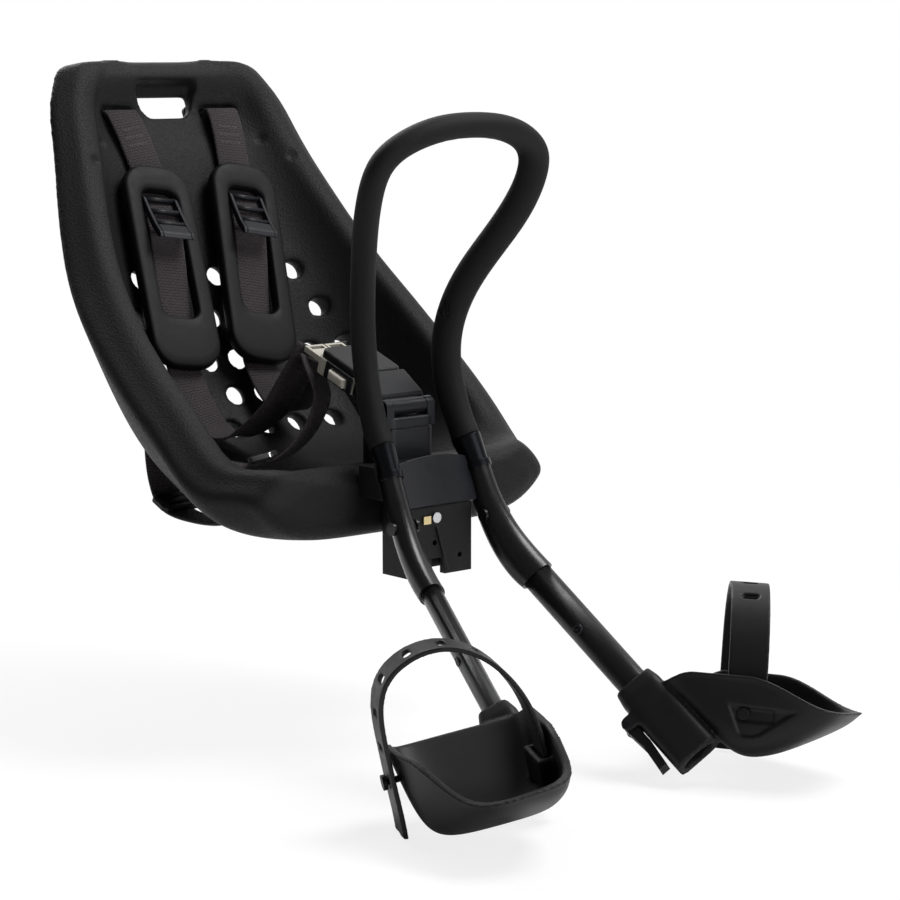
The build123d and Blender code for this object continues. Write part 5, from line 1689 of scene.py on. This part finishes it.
@dataclass
class Studio:
    """Camera, soft lamps, pale floor and white surroundings."""

    camera_place: Point = (-1072.83, -1244.01, 331.27)
    camera_look: Point = (0.648, 0.746, -0.151)
    lens_mm: float = 104.84
    sensor_mm: float = 36.0
    camera_reach: float = 50000.0
    image_px: float = 900.0
    floor_size: float = 12000.0
    floor_gap: float = 1.0
    floor_white: float = 0.8
    # Distances from the origin between which the floor's shadow fades out
    floor_fade: tuple[float, float] = (250.0, 750.0)
    ambient: float = 0.14
    lamp_size: float = 1200.0
    lamp_aim: Point = (0.0, 50.0, 100.0)
    # Where each lamp stands, and its watts
    lamps: dict[str, tuple[Point, float]] = field(
        default_factory=lambda: {
            "key": ((900.0, -700.0, 2200.0), 64.0),
            "fill": ((200.0, -1900.0, 450.0), 20.0),
            "rim": ((300.0, 1700.0, 1500.0), 36.0),
        }
    )

    def build(self) -> None:
        """Set the whole studio."""
        self.camera()
        self.world()
        self.floor()
        for name, (place, watts) in self.lamps.items():
            self.lamp(name, place, watts)
        bpy.context.scene.view_settings.view_transform = "Standard"

    def camera(self) -> None:
        """Camera at the photograph's place and angle."""
        data = bpy.data.cameras.new("camera")
        data.sensor_width = self.sensor_mm
        data.lens = self.lens_mm
        data.clip_end = self.camera_reach * MM
        camera = bpy.data.objects.new("camera", data)
        camera.location = Vector(self.camera_place) * MM
        camera.rotation_euler = Vector(self.camera_look).to_track_quat("-Z", "Y").to_euler()
        bpy.context.scene.collection.objects.link(camera)
        bpy.context.scene.camera = camera

    def ray(self, across: float, down: float) -> tuple[Vector, Vector]:
        """Line of sight through a pixel of the square picture.

        Args:
            across: pixels from the left.
            down: pixels from the top.

        Returns:
            Start in metres and direction.
        """
        ahead = Vector(self.camera_look).normalized()
        right = ahead.cross(Vector((0, 0, 1))).normalized()
        reach = self.image_px * self.lens_mm / self.sensor_mm
        half = self.image_px / 2
        toward = ahead * reach + right * (across - half) - right.cross(ahead) * (down - half)
        return Vector(self.camera_place) * MM, toward.normalized()

    def world(self) -> None:
        """White to the camera and in gloss behind the seat, plain grey light otherwise."""
        world = bpy.data.worlds.new("studio")
        bpy.context.scene.world = world
        world.use_nodes = True
        tree = world.node_tree
        tree.nodes.clear()
        path = add_node(tree, "ShaderNodeLightPath")
        place = add_node(tree, "ShaderNodeTexCoord")
        toward = {0: place.outputs["Generated"], 1: Vector(self.camera_look)}
        ahead = add_node(tree, "ShaderNodeVectorMath", toward, operation="DOT_PRODUCT")
        behind = add_node(tree, "ShaderNodeMapRange", {0: ahead.outputs["Value"], 1: 0.0, 2: 0.5})
        seen = {0: path.outputs["Is Glossy Ray"], 1: path.outputs["Is Transmission Ray"]}
        shiny = add_node(tree, "ShaderNodeMath", seen, operation="ADD")
        both = {0: shiny.outputs[0], 1: behind.outputs[0]}
        shown = add_node(tree, "ShaderNodeMath", both, operation="MULTIPLY")
        white = {0: shown.outputs[0], 1: path.outputs["Is Camera Ray"]}
        factor = add_node(tree, "ShaderNodeMath", white, operation="ADD", use_clamp=True)
        light = (1.0, 1.0, 1.0, 1.0)
        grey = add_node(tree, "ShaderNodeBackground", {"Color": light, "Strength": self.ambient})
        plain = add_node(tree, "ShaderNodeBackground", {"Color": light, "Strength": 1.0})
        shades = {0: factor.outputs[0], 1: grey.outputs[0], 2: plain.outputs[0]}
        mix = add_node(tree, "ShaderNodeMixShader", shades)
        add_node(tree, "ShaderNodeOutputWorld", {"Surface": mix.outputs[0]})

    def floor(self) -> None:
        """Pale floor that keeps a faint shadow."""
        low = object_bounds()[0][2] - self.floor_gap * MM
        half = self.floor_size * MM / 2
        mesh = bpy.data.meshes.new("floor")
        corners = [(-half, -half, low), (half, -half, low), (half, half, low), (-half, half, low)]
        mesh.from_pydata(corners, [], [(0, 1, 2, 3)])
        floor = bpy.data.objects.new("floor", mesh)
        bpy.context.scene.collection.objects.link(floor)
        made = bpy.data.materials.new("matt_white_floor")
        made.use_nodes = True
        tree = made.node_tree
        tree.nodes.clear()
        path = add_node(tree, "ShaderNodeLightPath")
        place = add_node(tree, "ShaderNodeTexCoord")
        away = add_node(tree, "ShaderNodeVectorMath", {0: place.outputs["Object"]}, operation="LENGTH")
        near, far = (reach * MM for reach in self.floor_fade)
        fade = {0: away.outputs["Value"], 1: near, 2: far, 3: self.floor_white, 4: 1.0}
        white = add_node(tree, "ShaderNodeMapRange", fade)
        seen = {0: path.outputs["Is Camera Ray"], 1: white.outputs[0]}
        share = add_node(tree, "ShaderNodeMath", seen, operation="MULTIPLY")
        matt = add_node(tree, "ShaderNodeBsdfDiffuse", {"Color": linear("#f2f2f2")})
        glow = add_node(tree, "ShaderNodeEmission", {"Strength": 1.0})
        shades = {0: share.outputs[0], 1: matt.outputs[0], 2: glow.outputs[0]}
        mix = add_node(tree, "ShaderNodeMixShader", shades)
        add_node(tree, "ShaderNodeOutputMaterial", {"Surface": mix.outputs[0]})
        mesh.materials.append(made)
        floor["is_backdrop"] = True

    def lamp(self, name: str, place: Point, watts: float) -> None:
        """Square soft lamp aimed at the seat.

        Args:
            name: name of the lamp.
            place: where it stands.
            watts: its power.
        """
        data = bpy.data.lights.new(name, "AREA")
        data.size = self.lamp_size * MM
        data.energy = watts
        lamp = bpy.data.objects.new(name, data)
        lamp.location = Vector(place) * MM
        aim = Vector(self.lamp_aim) * MM - lamp.location
        lamp.rotation_euler = aim.to_track_quat("-Z", "Y").to_euler()
        bpy.context.scene.collection.objects.link(lamp)


def main() -> None:
    """Dress the CAD nodes, build each sub-assembly and light the studio."""
    logging.basicConfig(level=logging.INFO, format="%(name)s: %(message)s")
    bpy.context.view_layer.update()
    CadNodes().dress()
    back = BackPanel()
    ribs = RibRow()
    thread = SewnThread()
    studio = Studio()
    cups = FootCups()
    assemblies = [
        FoamBucket(back),
        HandleFrame(),
        Harness(back, thread, ribs),
        Buckle(),
        cups,
        LowerLegs(cups),
        StopButtons(studio),
    ]
    for assembly in assemblies:
        for piece in assembly.build():
            log.info("%s has %d faces", piece.name, len(piece.data.polygons))
    studio.build()


if __name__ == "__main__":
    main()
